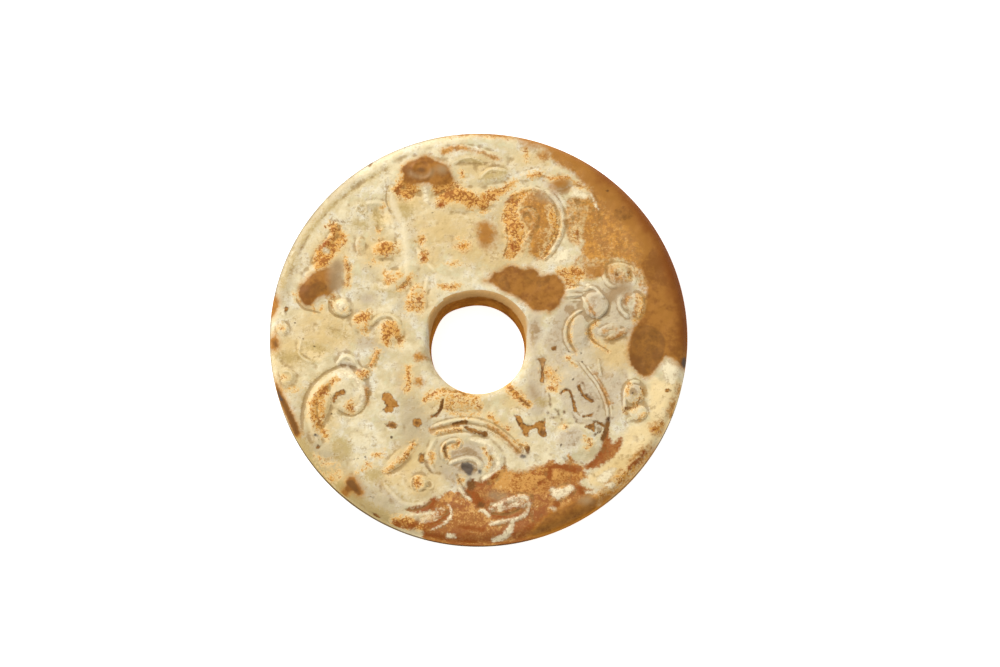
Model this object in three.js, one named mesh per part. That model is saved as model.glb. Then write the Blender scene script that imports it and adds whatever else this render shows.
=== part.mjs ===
// A carved jade bi: a flat disc with a round bore, lying with its carved face up.
// Millimetres, +Z up, origin under the middle of the disc, on the surface that it lies on.
import * as THREE from 'three';

// Driving dimensions of the blank
const discRadius = 40;
const fieldHeight = 7.3;
const faceEdgeRounding = 2.0;
const underEdgeRounding = 1.8;
const boreFrontRadius = 9.4;
const boreBackRadius = 8.9;
const boreFrontRounding = 1.6;
const boreBackRounding = 0.6;
const boreCentre = new THREE.Vector2(-0.15, -1.85);
const boreBulge = { size: 0.45, angle: 132, spread: 18 };

// How finely the solid is faceted
const facetLength = 1.2;
const rimSides = 120;
const boreSides = 54;
const roundingSteps = 3;
const arcDivisions = 5;
const ringDivisions = 16;

// The carving: no line is narrower than this on the solid, and it dies away towards the rim and the bore
const narrowestLine = 2.5;
const rimFade = 1.4;
const boreFade = 1.6;

// Jade as it looks from a step away
const jadeColour = 0xd9bf8c;
const jadeRoughness = 0.5;

const { degToRad, lerp, smoothstep } = THREE.MathUtils;

// An arc from one point to the next that turns by the given degrees on its way, left turns positive
function arcBetween(from, to, turn) {
  const half = degToRad(turn) / 2;
  if (half === 0) return new THREE.LineCurve(from, to);
  const chord = to.clone().sub(from);
  const radius = chord.length() / (2 * Math.sin(Math.abs(half)));
  const leftward = new THREE.Vector2(-chord.y, chord.x).normalize();
  const centre = from.clone().lerp(to, 0.5);
  centre.addScaledVector(leftward, Math.sign(turn) * radius * Math.cos(half));
  const startAngle = Math.atan2(from.y - centre.y, from.x - centre.x);
  const endAngle = Math.atan2(to.y - centre.y, to.x - centre.x);
  return new THREE.ArcCurve(centre.x, centre.y, radius, startAngle, endAngle, turn < 0);
}

// A raised line: its start, then for each arc the end point and the turn
function ridge(width, height, start, ...arcs) {
  const path = new THREE.CurvePath();
  let from = new THREE.Vector2(...start);
  for (const [x, y, turn] of arcs) {
    const to = new THREE.Vector2(x, y);
    path.add(arcBetween(from, to, turn));
    from = to;
  }
  return { reach: Math.max(width, narrowestLine) / 2, height, points: path.getPoints(arcDivisions) };
}

// A cut line, laid out as a ridge is
function groove(width, depth, start, ...arcs) {
  return ridge(width, -depth, start, ...arcs);
}

// A raised ring, as round an eye or a cloud curl
function ring(width, height, x, y, radius) {
  const points = new THREE.ArcCurve(x, y, radius, 0, 2 * Math.PI).getPoints(ringDivisions);
  return { reach: Math.max(width, narrowestLine) / 2, height, points };
}

// A low swelling with a soft edge: half length, half width and the turn of its long axis
function swelling(height, x, y, halfLength, halfWidth, turn = 0) {
  return { height, centre: new THREE.Vector2(x, y), halfLength, halfWidth, turn: degToRad(turn) };
}

// The dragon's head at the right: eyes, brows, round nose, ears, jaw and curled chin
function dragonHead() {
  const swellings = [
    swelling(0.45, 25.5, 6.5, 8.0, 6.0, -60),
    swelling(0.75, 22.4, 5.9, 2.6, 2.4),
    swelling(0.6, 25.2, 0.9, 3.4, 1.8, 10),
    swelling(0.6, 26.5, 12.0, 2.2, 2.2),
    swelling(0.6, 29.6, 6.2, 2.2, 2.2),
  ];
  const lines = [
    ring(0.9, 0.35, 26.5, 12.0, 1.5),
    ring(0.9, 0.35, 29.6, 6.2, 1.5),
    ridge(1.0, 0.6, [23.9, 12.4], [25.9, 9.3, 70]),
    ridge(1.0, 0.6, [27.1, 7.0], [29.0, 3.3, 50]),
    ridge(1.0, 0.5, [20.2, 7.2], [22.0, 3.4, 30]),
    ridge(1.0, 0.5, [24.8, 6.4], [23.0, 3.1, -45]),
    ridge(1.0, 0.5, [21.6, 8.6], [24.0, 7.2, -50]),
    ridge(1.2, 0.4, [28.5, 13.4], [32.2, 9.2, -70]),
    ridge(1.2, 0.4, [30.8, 8.2], [31.2, 3.0, -100]),
    ridge(1.2, 0.7, [20.0, 5.2], [16.9, 1.0, 40], [19.0, -3.6, 35]),
    groove(1.0, 0.5, [24.6, 3.6], [21.4, 1.2, 60], [22.0, -1.0, 40], [24.8, -2.8, 15]),
  ];
  return { swellings, lines };
}

// Its body below: the long spine, the haunch, a hooked claw at the rim and the cuts between the limbs
function dragonBody() {
  const swellings = [
    swelling(0.45, 18.5, -12.5, 9.0, 6.0, -60),
    swelling(0.6, 19.0, -20.0, 5.6, 4.8),
    swelling(0.5, 29.7, -11.6, 2.4, 2.6),
    swelling(0.4, 30.8, -15.2, 2.2, 1.8),
  ];
  const lines = [
    ridge(1.3, 0.7, [19.3, -5.2], [22.2, -8.6, -5], [24.7, -14.5, -25], [23.2, -20.0, -35]),
    ridge(1.0, 0.7, [28.2, -14.0], [28.0, -10.8, -10], [30.6, -9.2, -100]),
    ring(0.8, 0.4, 22.4, -18.2, 1.3),
    groove(1.1, 0.55, [15.7, -11.3], [17.6, -11.6, -100], [18.2, -14.0, 10], [19.4, -15.7, 20]),
    groove(1.0, 0.5, [19.4, -10.0], [21.7, -12.9, 10]),
    groove(1.0, 0.45, [12.2, -5.0], [12.0, -9.3, 5]),
    groove(1.2, 0.45, [6.8, -15.2], [9.2, -19.4, 10]),
    groove(1.4, 0.45, [12.7, -16.0], [12.0, -19.2, 0]),
  ];
  return { swellings, lines };
}

// The big hooked scroll at the upper right, with the ribs that wrap round it
function upperScroll() {
  const swellings = [
    swelling(0.4, 10.0, 21.2, 7.6, 5.6, 80),
    swelling(0.4, 20.4, 27.6, 2.6, 1.6, -25),
  ];
  const lines = [
    ridge(1.7, 0.75, [8.1, 23.4], [11.0, 24.0, -150], [10.6, 20.0, -25], [7.6, 16.4, -15]),
    ridge(1.3, 0.75, [12.5, 28.4], [16.2, 24.5, -40], [15.8, 18.8, -35], [12.0, 14.6, -20]),
    ridge(1.1, 0.55, [16.0, 26.4], [17.6, 22.4, -20], [17.2, 18.5, -10]),
    ridge(1.3, 0.45, [5.0, 15.4], [5.2, 22.0, 15], [9.8, 28.6, -75]),
    ridge(1.2, 0.55, [19.5, 30.0], [22.8, 24.8, -25], [22.6, 21.0, -15]),
  ];
  return { swellings, lines };
}

// The top: a capped mound with a ringed boss, and thin cloud lines along the rim
function topClouds() {
  const swellings = [
    swelling(0.5, -10.8, 31.0, 6.2, 3.4, -8),
    swelling(0.35, -2.0, 26.6, 7.0, 2.2, 5),
  ];
  const lines = [
    ring(0.9, 0.4, -11.0, 32.2, 1.8),
    ridge(1.2, 0.5, [-7.0, 36.0], [-2.5, 36.8, -15], [4.5, 34.4, -20]),
    ridge(1.2, 0.45, [0.2, 30.4], [2.2, 32.4, -40], [5.2, 32.0, -40]),
    ridge(1.3, 0.4, [8.3, 31.1], [12.4, 32.3, 0]),
    ridge(1.7, 0.6, [-16.9, 28.0], [-14.4, 21.5, 25], [-13.7, 12.0, -10], [-19.6, 9.2, -70]),
    ridge(1.4, 0.45, [-11.8, 17.0], [-8.3, 12.4, 20]),
    ridge(1.3, 0.45, [-22.6, 25.8], [-17.6, 25.4, -40]),
    groove(1.6, 0.4, [-17.6, 32.7], [-37.5, 9.3, 47]),
  ];
  return { swellings, lines };
}

// The left: a crested mound, small curls by the rim and the comma scroll with its rolled end
function leftScrolls() {
  const swellings = [
    swelling(0.55, -30.6, 10.6, 6.4, 3.0, 62),
    swelling(0.45, -18.0, 16.8, 2.9, 1.9, 8),
    swelling(0.45, -16.4, 11.3, 2.4, 1.6, 15),
    swelling(0.4, -12.1, 7.4, 2.6, 1.6, 80),
    swelling(0.5, -22.3, 2.9, 2.2, 1.9),
    swelling(0.45, -17.4, 0.9, 2.6, 2.3),
    swelling(0.4, -22.2, -7.6, 1.6, 1.4),
  ];
  const lines = [
    ridge(2.2, 0.6, [-31.6, 14.6], [-28.6, 18.5, 0], [-27.4, 21.8, 20]),
    ridge(1.4, 0.5, [-25.4, 15.0], [-25.3, 9.4, -10]),
    ridge(1.5, 0.6, [-28.4, 7.4], [-25.2, 5.8, 150]),
    ring(0.9, 0.4, -37.3, 1.5, 1.2),
    ring(0.9, 0.45, -36.5, -8.2, 1.3),
    ridge(1.2, 0.35, [-37.4, 3.6], [-36.6, 5.8, 0]),
    ridge(1.4, 0.55, [-20.4, 2.2], [-15.3, 2.3, -130]),
    ridge(1.5, 0.7, [-26.9, -5.3], [-24.2, -4.2, -50], [-22.3, -7.0, -20]),
    groove(1.2, 0.45, [-26.2, -6.1], [-23.7, -7.2, -40]),
    ridge(1.3, 0.4, [-19.1, -3.0], [-20.5, -6.2, 0]),
    ridge(2.7, 0.85, [-30.6, -20.6], [-32.0, -14.5, -15], [-29.8, -10.0, -25], [-25.5, -7.2, -10],
      [-21.9, -11.0, -80], [-24.2, -14.4, -110], [-26.2, -12.9, -80]),
    groove(0.9, 0.35, [-33.8, -14.0], [-32.6, -9.8, -15], [-27.8, -5.9, -15]),
  ];
  return { swellings, lines };
}

// The bottom: the double arch, the ringed scroll under it, a leaf, a ball and the comma curl by the rim
function lowerScrolls() {
  const swellings = [
    swelling(0.35, -2.5, -23.6, 7.6, 5.0, -10),
    swelling(0.5, -11.2, -28.6, 2.0, 1.9),
    swelling(0.35, -13.6, -29.4, 5.0, 3.0, -30),
    swelling(0.35, -4.2, -12.4, 6.6, 1.9, -4),
    swelling(0.35, 16.5, -30.0, 2.4, 1.3, 22),
  ];
  const lines = [
    ridge(2.1, 0.8, [-8.6, -18.2], [-2.0, -17.0, -25], [7.8, -22.3, -35]),
    ridge(1.1, 0.7, [-7.0, -24.0], [-6.2, -21.3, -15], [-3.7, -20.5, -110], [-4.5, -21.7, -120]),
    ridge(2.0, 0.75, [-1.5, -20.2], [4.0, -24.3, -60], [1.0, -28.0, -60]),
    ridge(1.4, 0.45, [-8.0, -20.0], [-9.7, -23.5, 30], [-8.3, -26.4, 35]),
    ridge(1.3, 0.65, [-5.3, -24.8], [-0.6, -24.0, -20], [0.2, -25.8, -60]),
    ring(0.9, 0.35, -11.3, -28.6, 1.4),
    ridge(1.9, 0.6, [-17.2, -26.4], [-12.0, -20.9, 5]),
    ridge(1.6, 0.45, [-18.2, -28.2], [-14.6, -32.2, 20], [-9.6, -32.2, 45]),
    ridge(1.2, 0.45, [-5.6, -32.6], [-5.0, -35.3, -30], [-9.4, -37.6, -15]),
    ridge(1.8, 0.7, [1.8, -33.4], [7.5, -31.5, -10], [9.7, -33.2, -90], [6.6, -35.5, -60]),
    ridge(1.2, 0.4, [2.4, -36.5], [5.8, -36.1, 0], [5.6, -38.2, -80]),
    groove(1.1, 0.5, [-6.7, -12.6], [-8.8, -15.8, -80]),
    groove(0.9, 0.35, [-7.9, -19.6], [-2.2, -18.6, -10], [1.2, -20.0, -20]),
  ];
  return { swellings, lines };
}

const motifs = [dragonHead(), dragonBody(), upperScroll(), topClouds(), leftScrolls(), lowerScrolls()];
const allSwellings = motifs.flatMap((motif) => motif.swellings);
const allLines = motifs.flatMap((motif) => motif.lines);

// Distance from a point to a carved line, along its straight pieces
function distanceToLine(place, points) {
  let nearest = Infinity;
  for (let i = 1; i < points.length; i += 1) {
    const along = points[i].clone().sub(points[i - 1]);
    const offset = place.clone().sub(points[i - 1]);
    const share = THREE.MathUtils.clamp(offset.dot(along) / along.lengthSq(), 0, 1);
    nearest = Math.min(nearest, offset.addScaledVector(along, -share).length());
  }
  return nearest;
}

// How far a swelling lifts a point, rounded off towards its edge
function swellingLift(place, { height, centre, halfLength, halfWidth, turn }) {
  const offset = place.clone().sub(centre).rotateAround(new THREE.Vector2(), -turn);
  const reach = Math.hypot(offset.x / halfLength, offset.y / halfWidth);
  return height * (1 - smoothstep(reach, 0.45, 1));
}

// The carving's height over the field: swellings, then the highest ridge and the deepest groove on them
function carving(place) {
  let swell = 0;
  for (const form of allSwellings) swell = Math.max(swell, swellingLift(place, form));
  let raised = 0;
  let cut = 0;
  for (const line of allLines) {
    const nearness = distanceToLine(place, line.points) / line.reach;
    const lift = line.height * Math.max(0, 1 - nearness * nearness);
    raised = Math.max(raised, lift);
    cut = Math.min(cut, lift);
  }
  const fromRim = discRadius - place.length();
  const fromBore = place.distanceTo(boreCentre) - boreFrontRadius;
  const fade = smoothstep(fromRim, faceEdgeRounding / 2, faceEdgeRounding / 2 + rimFade);
  return (swell + raised + cut) * fade * smoothstep(fromBore, 0, boreFade);
}

// One hoop of points round the disc. offCentre is 0 for hoops on the disc's middle, 1 on the bore's
function hoop(sides, radius, height, offCentre, isCarved = false) {
  const points = [];
  const centre = boreCentre.clone().multiplyScalar(offCentre);
  for (let side = 0; side < sides; side += 1) {
    const angle = (side / sides) * 2 * Math.PI;
    const fromBulge = (THREE.MathUtils.radToDeg(angle) - boreBulge.angle) / boreBulge.spread;
    const bulge = boreBulge.size * Math.exp(-fromBulge * fromBulge) * offCentre;
    const place = new THREE.Vector2(Math.cos(angle), Math.sin(angle));
    place.multiplyScalar(radius + bulge).add(centre);
    const lift = isCarved ? carving(place) : 0;
    points.push(new THREE.Vector3(place.x, place.y, height + lift));
  }
  return points;
}

// A quarter round between two faces: steps from 0 to 1 give the share across and the share down
function quarterRound(step) {
  const angle = (step / roundingSteps) * (Math.PI / 2);
  return { across: 1 - Math.sin(angle), down: 1 - Math.cos(angle) };
}

// All hoops in order: underside rim edge, side, face edge, carved face, bore, underside bore edge
function discHoops() {
  const hoops = [];
  for (let step = 0; step <= roundingSteps; step += 1) {
    const { across, down } = quarterRound(step);
    hoops.push(hoop(rimSides, discRadius - underEdgeRounding * across, underEdgeRounding * down, 0));
  }
  for (let step = roundingSteps; step > 0; step -= 1) {
    const { across, down } = quarterRound(step);
    const height = fieldHeight - faceEdgeRounding * down;
    hoops.push(hoop(rimSides, discRadius - faceEdgeRounding * across, height, 0, true));
  }
  const outerRadius = discRadius - faceEdgeRounding;
  const innerRadius = boreFrontRadius + boreFrontRounding;
  const bands = Math.round((outerRadius - innerRadius) / (facetLength * Math.sin(Math.PI / 3)));
  for (let band = 0; band <= bands; band += 1) {
    const share = band / bands;
    const radius = lerp(outerRadius, innerRadius, share);
    const sides = Math.round((2 * Math.PI * radius) / facetLength);
    hoops.push(hoop(sides, radius, fieldHeight, share, true));
  }
  for (let step = 1; step <= roundingSteps; step += 1) {
    const { across, down } = quarterRound(step);
    const radius = boreFrontRadius + boreFrontRounding * across;
    hoops.push(hoop(boreSides, radius, fieldHeight - boreFrontRounding * down, 1));
  }
  hoops.push(hoop(boreSides, boreBackRadius, boreBackRounding, 1));
  hoops.push(hoop(boreSides, boreBackRadius + boreBackRounding, 0, 1));
  return hoops;
}

// Triangles between two neighbouring hoops, whatever their numbers of points
function stitch(triangles, lower, upper) {
  let i = 0;
  let j = 0;
  while (i < lower.count || j < upper.count) {
    const nextLower = (i + 1) / lower.count;
    const nextUpper = (j + 1) / upper.count;
    const a = lower.first + (i % lower.count);
    const b = upper.first + (j % upper.count);
    if (j === upper.count || (i < lower.count && nextLower <= nextUpper)) {
      i += 1;
      triangles.push(a, lower.first + (i % lower.count), b);
    } else {
      j += 1;
      triangles.push(a, upper.first + (j % upper.count), b);
    }
  }
}

// The closed disc: every hoop is stitched to the next, and the last to the first across the underside
function discGeometry() {
  const hoops = discHoops();
  const spans = [];
  const triangles = [];
  let first = 0;
  for (const points of hoops) {
    spans.push({ first, count: points.length });
    first += points.length;
  }
  spans.forEach((span, index) => stitch(triangles, span, spans[(index + 1) % spans.length]));
  const geometry = new THREE.BufferGeometry().setFromPoints(hoops.flat());
  geometry.setIndex(triangles);
  geometry.computeVertexNormals();
  return geometry;
}

const jade = new THREE.MeshStandardMaterial({ color: jadeColour, roughness: jadeRoughness, metalness: 0 });
const biDisc = new THREE.Mesh(discGeometry(), jade);
biDisc.name = 'bi_disc';

const part = new THREE.Group();
part.add(biDisc);

export default part;
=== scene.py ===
import math

import bmesh
import bpy
import numpy as np
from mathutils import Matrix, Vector


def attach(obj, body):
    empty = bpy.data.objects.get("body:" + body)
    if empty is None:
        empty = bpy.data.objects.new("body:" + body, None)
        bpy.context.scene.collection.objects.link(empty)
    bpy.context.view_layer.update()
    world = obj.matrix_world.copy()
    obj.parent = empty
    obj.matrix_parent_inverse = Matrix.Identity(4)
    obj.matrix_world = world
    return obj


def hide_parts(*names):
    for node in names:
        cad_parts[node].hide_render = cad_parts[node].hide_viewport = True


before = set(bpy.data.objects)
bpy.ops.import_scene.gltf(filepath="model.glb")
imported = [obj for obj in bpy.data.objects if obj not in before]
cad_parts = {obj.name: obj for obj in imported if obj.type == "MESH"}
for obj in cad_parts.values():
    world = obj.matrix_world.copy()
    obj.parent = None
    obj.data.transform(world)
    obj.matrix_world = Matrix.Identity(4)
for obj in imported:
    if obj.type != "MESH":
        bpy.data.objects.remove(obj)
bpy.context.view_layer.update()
print("frame loaded:", sorted(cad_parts))

mm = 0.001  # marks are laid out in millimetres, the mesh is in metres

# The blank: a flat ring with rounded edges and a bore a little off its middle
blank = {
    "discRadius": 40.0,
    "fieldHeight": 7.3,
    "faceEdge": 2.0,  # roundings
    "underEdge": 1.8,
    "boreFront": 9.4,  # bore radius at the face, then at the underside
    "boreBack": 8.9,
    "boreFrontEdge": 1.6,
    "boreBackEdge": 0.6,
    "boreCentre": (-0.15, -1.85),
    "bulge": 0.45,  # the bore is a little squared at its upper left
    "bulgeAngle": 132,
    "bulgeSpread": 18,
    "turnSteps": 668,
    "faceCuts": 119,
    "sideCuts": 4,
    "wallCuts": 4,
    "underCuts": 3,
    "edgeSteps": 8,
    "underEdgeSteps": 5,
    "boreBackSteps": 3,
    "snap": 0.01,  # how close a place is to a corner or an edge that it belongs to
    "wallSnap": 0.05,
    "weld": 0.002,
}


def selectPlaces(mesh, test):
    bpy.ops.mesh.select_all(action="DESELECT")
    bm = bmesh.from_edit_mesh(mesh)
    chosen = {vert for vert in bm.verts if test(vert.co / mm)}
    for vert in chosen:
        vert.select = True
    for edge in bm.edges:
        if chosen.issuperset(edge.verts):
            edge.select = True
    bmesh.update_edit_mesh(mesh)


def roundCorner(mesh, radius, height, rounding, steps):
    corner = Vector((radius, 0, height))
    selectPlaces(mesh, lambda place: (place - corner).length < blank["snap"])
    bpy.ops.mesh.bevel(offset=rounding * mm, segments=steps, profile=0.5, affect="VERTICES")


def cutEdge(mesh, test, cuts):
    selectPlaces(mesh, test)
    bpy.ops.mesh.subdivide(number_cuts=cuts)


def turnBlank(size):
    outer, height, snap = size["discRadius"], size["fieldHeight"], size["snap"]
    front, back, wallSnap = size["boreFront"], size["boreBack"], size["wallSnap"]
    bpy.ops.object.select_all(action="DESELECT")
    middle = ((outer + front) / 2 * mm, 0, height / 2 * mm)
    bpy.ops.mesh.primitive_plane_add(size=1, location=middle, rotation=(math.pi / 2, 0, 0))
    disc = bpy.context.object
    disc.name = disc.data.name = "carvedJade"
    disc.scale = ((outer - front) * mm, height * mm, 1)
    bpy.ops.object.transform_apply(location=True, rotation=True, scale=True)
    mesh = disc.data
    bpy.ops.object.mode_set(mode="EDIT")
    bpy.ops.mesh.select_mode(type="VERT")
    selectPlaces(mesh, lambda place: place.x < (outer + front) / 2 and place.z < height / 2)
    bpy.ops.transform.translate(value=((back - front) * mm, 0, 0))  # the bore narrows to the back
    roundCorner(mesh, outer, height, size["faceEdge"], size["edgeSteps"])
    roundCorner(mesh, outer, 0, size["underEdge"], size["underEdgeSteps"])
    roundCorner(mesh, front, height, size["boreFrontEdge"], size["edgeSteps"])
    roundCorner(mesh, back, 0, size["boreBackEdge"], size["boreBackSteps"])
    bpy.ops.mesh.select_all(action="SELECT")
    bpy.ops.mesh.delete(type="ONLY_FACE")
    bpy.ops.mesh.select_mode(type="EDGE")
    cutEdge(mesh, lambda place: place.z > height - snap, size["faceCuts"])
    cutEdge(mesh, lambda place: place.x > outer - snap, size["sideCuts"])
    cutEdge(mesh, lambda place: place.z < snap, size["underCuts"])
    wallTop, wallFoot = height - size["boreFrontEdge"] + wallSnap, size["boreBackEdge"] - wallSnap
    cutEdge(mesh, lambda place: place.x < front + wallSnap and wallFoot < place.z < wallTop, size["wallCuts"])
    bpy.ops.object.mode_set(mode="OBJECT")
    bpy.ops.object.modifier_add(type="SCREW")
    turn = disc.modifiers[-1]
    turn.angle, turn.axis, turn.screw_offset = 2 * math.pi, "Z", 0
    turn.steps = turn.render_steps = size["turnSteps"]
    bpy.ops.object.modifier_apply(modifier=turn.name)
    bpy.ops.object.mode_set(mode="EDIT")
    bpy.ops.mesh.select_all(action="SELECT")
    bpy.ops.mesh.remove_doubles(threshold=size["weld"] * mm)
    bpy.ops.mesh.normals_make_consistent(inside=False)
    bpy.ops.object.mode_set(mode="OBJECT")
    bpy.ops.object.shade_smooth()
    return disc


def readPlaces(mesh):
    flat = np.empty(len(mesh.vertices) * 3, np.float32)
    mesh.vertices.foreach_get("co", flat)
    return flat.reshape(-1, 3).astype(float) / mm


def smoothStep(value, low, high):
    share = np.clip((value - low) / (high - low), 0, 1)
    return share * share * (3 - 2 * share)


def shiftBore(places, size):
    x, y = places[:, 0], places[:, 1]
    radius, angle = np.hypot(x, y), np.arctan2(y, x)
    outer = size["discRadius"] - size["faceEdge"]
    inner = size["boreFront"] + size["boreFrontEdge"]
    share = np.clip((outer - radius) / (outer - inner), 0, 1)
    fromBulge = (np.degrees(angle) % 360 - size["bulgeAngle"]) / size["bulgeSpread"]
    radius = radius + size["bulge"] * np.exp(-fromBulge ** 2) * share
    places[:, 0] = radius * np.cos(angle) + size["boreCentre"][0] * share
    places[:, 1] = radius * np.sin(angle) + size["boreCentre"][1] * share


disc = turnBlank(blank)
places = readPlaces(disc.data)
shiftBore(places, blank)
x, y, z = places.T.copy()
print("blank turned:", len(disc.data.polygons), "faces")

# Carving. Swells: height, x, y, half length, half width, and turn where there is one.
# Rings: width, height, x, y, radius. Ridges and cuts: width, height, start, then the end of each arc
# and how far it turns, left positive, or width, height and the points that a freer line runs through.
dragonHead = {
    "worn": 0.7,  # share of the lines' height that wear has left
    "swells": [
        (0.35, 25, 6.5, 8.5, 6.5, -60), (0.9, 22.4, 5.9, 3.2, 3.5, 10), (0.42, 25.2, 1.2, 3, 1.5, 15),
        (0.4, 26.6, 0.3, 2.8, 1.1, 25), (0.36, 26.7, 11.9, 2.8, 2.6), (0.4, 29.9, 5.9, 2.5, 3, 20),
        (0.35, 19.2, 1, 2.2, 4.2), (0.25, 19, 8.4, 3.2, 1.5, 8),
    ],
    "rings": [(0.45, 0.2, 26.7, 11.9, 1), (0.45, 0.2, 29.2, 6.4, 1)],
    "ridges": [
        (0.6, 0.42, [(19.9, 7.5), (20.2, 6.6), (20.8, 5.4), (21.4, 4.4), (22, 3.4)]),
        (0.65, 0.42, [(20.4, 8.8), (21.6, 9.3), (22.6, 8.8), (23.4, 7.9), (24, 7.1)]),
        (0.65, 0.42, [(24.5, 6.9), (24.7, 5.8), (24.4, 4.8), (23.6, 3.9), (22.5, 3.2)]),
        (0.7, 0.42, [(23.9, 13), (23.9, 11.8), (24.4, 10.4), (25.2, 9.5), (26.3, 9.2)]),
        (0.5, 0.3, [(29.2, 13.4), (29.8, 12.2), (30, 11), (29.6, 9.8)]),
        (0.5, 0.26, [(30.2, 12.8), (31.2, 11.8), (31.6, 10.4), (31.2, 9.2)]),
        (0.5, 0.24, [(24.8, 13.4), (26.2, 14), (27.8, 13.9), (29, 13.3)]),
        (0.7, 0.44, [(27.1, 7.3), (26.8, 6.2), (27, 5.2), (27.6, 4.4), (28.6, 3.4)]),
        (0.5, 0.32, [(30.2, 8.1), (31, 7.4), (31.4, 6.2), (31.2, 4.8), (30.4, 3.5)]),
        (0.65, 0.46, [(19.9, 4.9), (18.8, 4.4), (17.6, 3.4), (16.8, 2), (16.5, 0.4), (16.6, -0.8), (17.1, -2),
            (18, -3.3)]),
        (0.45, 0.18, [(16.6, 8.6), (17.6, 8.9), (18.8, 8.8), (20.2, 8.7)]),
        (0.45, 0.18, [(16.8, 7.6), (18, 7.7), (19.8, 7.8)]), (0.4, 0.14, [(17.4, 6.7), (18.4, 6.9), (19.6, 6.8)]),
        (0.45, 0.24, [(17, -4.3), (18, -5.2), (19, -5.6)]), (0.45, 0.3, [(22.9, -4.7), (23, -6), (23.3, -7.8)]),
    ],
    "cuts": [
        (0.9, 0.32, [(22.4, 2.7), (21.5, 2.2), (21, 1.3), (21, 0.4), (21.5, -0.6), (22.4, -1.5), (23.5, -2.2),
            (24.8, -3)]),
        (0.5, 0.24, [(18.8, 3.9), (17.7, 2.7), (17.3, 1.2), (17.2, -0.4), (17.7, -2), (18.6, -3.3)]),
        (0.5, 0.26, [(24, 0.6), (25, 1), (26.3, 1.3)]), (0.4, 0.16, [(22.9, 2.6), (24, 3), (25.3, 3.9)]),
        (0.5, 0.12, [(23.2, -0.9), (25, -1), (27, 0), (28.8, 1.4)]),
        (0.4, 0.15, [(17, 8.1), (18.4, 8.3), (20, 8.2)]),
    ],
}
dragonBody = {
    "worn": 0.8,
    "swells": [
        (0.36, 18.5, -12.5, 9, 6, -60), (0.5, 19, -20.2, 5.4, 4.6), (0.48, 29.6, -11.4, 2.2, 2.5),
        (0.32, 30.6, -15, 2, 1.6),
    ],
    "rings": [(0.45, 0.22, 22.8, -18, 1), (0.4, 0.18, 29.4, -11.2, 1)],
    "ridges": [
        (0.5, 0.36, [(19.4, -5.3), (20.6, -6.9), (21.8, -8.4), (22.8, -9.8), (23.6, -11.4), (24.2, -13),
            (24.6, -14.6), (24.6, -16.2)]),
        (0.4, 0.12, [(20.7, -6), (21.8, -7.4), (23, -9.1), (24, -10.8), (24.8, -12.6), (25.3, -14.4), (25.4, -16)]),
        (0.65, 0.42, [(27.9, -14.4), (27.8, -12.4), (27.9, -10.8), (28.5, -9.6), (29.6, -8.9), (30.7, -9.2)]),
        (0.5, 0.28, [(29.6, -13.6), (30.8, -13.6), (31.8, -14.4), (31.9, -15.4), (31, -16.2)]),
        (0.5, 0.22, [(28.2, -16.6), (29.2, -16), (30.2, -16.4)]),
        (0.5, 0.22, [(20, -21.2), (21.4, -21), (22.8, -20.4)]),
        (0.45, 0.2, [(20.4, -16.4), (21.6, -16.2), (22.6, -16.6)]),
    ],
    "cuts": [
        (0.8, 0.42, [(15.7, -11.4), (16.2, -10.8), (16.9, -10.6), (17.5, -11), (17.8, -12), (18.1, -13.4),
            (18.6, -14.7), (19.3, -15.7)]),
        (0.9, 0.36, [(19.2, -10), (19.6, -11), (20.3, -11.9), (21, -12.3), (21.8, -12.8)]),
        (0.7, 0.3, (12.2, -5), (12, -9.3, 5)), (0.8, 0.3, (6.8, -15.2), (9.2, -19.4, 10)),
        (0.9, 0.3, (12.7, -16), (12, -19.2, 0)), (0.5, 0.26, [(20, -15.9), (20.8, -15.8), (21.7, -15.3)]),
        (0.5, 0.28, [(21.8, -16.9), (22.6, -16.7), (23.4, -17.4), (24.2, -17.8)]),
        (0.6, 0.26, [(21.9, -19.6), (22.4, -19), (23.2, -18.8), (23.8, -18.2)]),
    ],
}
upperScroll = {
    "worn": 0.7,
    "swells": [(0.35, 10, 21.2, 7.6, 5.6, 80), (0.2, 19.4, 27.6, 2.8, 1.6, -20), (0.18, 15.8, 29.8, 2.4, 1.7)],
    "ridges": [
        (1, 0.22, [(8, 22.8), (8.3, 23.9), (9.2, 24.5), (10.2, 24.2), (10.8, 23), (10.6, 21.2), (9.6, 19.2),
            (8.4, 17.4)]),
        (0.8, 0.34, [(13, 28.3), (14.6, 26.9), (15.8, 24.8), (16.2, 22.6), (16, 20.4), (15.2, 18.2), (14, 16.2),
            (12.6, 14.8)]),
        (0.5, 0.26, [(14.4, 28.6), (16, 26.6), (17.2, 24.4), (17.7, 22.4), (17.5, 20.4)]),
        (0.5, 0.22, [(17.6, 27.6), (18.5, 25.6), (18.9, 23.6), (18.6, 21.4)]),
        (0.6, 0.28, [(21.2, 28.4), (22.2, 26.6), (22.8, 24.8), (22.9, 22.6)]),
        (0.6, 0.22, [(6.2, 27.2), (8, 28.3), (10, 28.9), (12, 28.4)]),
    ],
    "cuts": [
        (0.6, 0.12, [(8, 24.3), (9.2, 25.3), (10.8, 24.9), (11.7, 23.4), (11.7, 21.4), (10.8, 19)]),
        (0.5, 0.2, [(13.6, 27), (14.9, 24.8), (15.1, 22.4), (14.6, 20), (13.4, 17.6), (11.8, 15.4)]),
        (0.4, 0.16, [(20.2, 26.4), (20.8, 24.2), (20.6, 22)]),
        (0.4, 0.18, [(5.3, 21.4), (5.6, 19.6), (5.6, 18), (5.2, 16.4)]),
    ],
}
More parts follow.
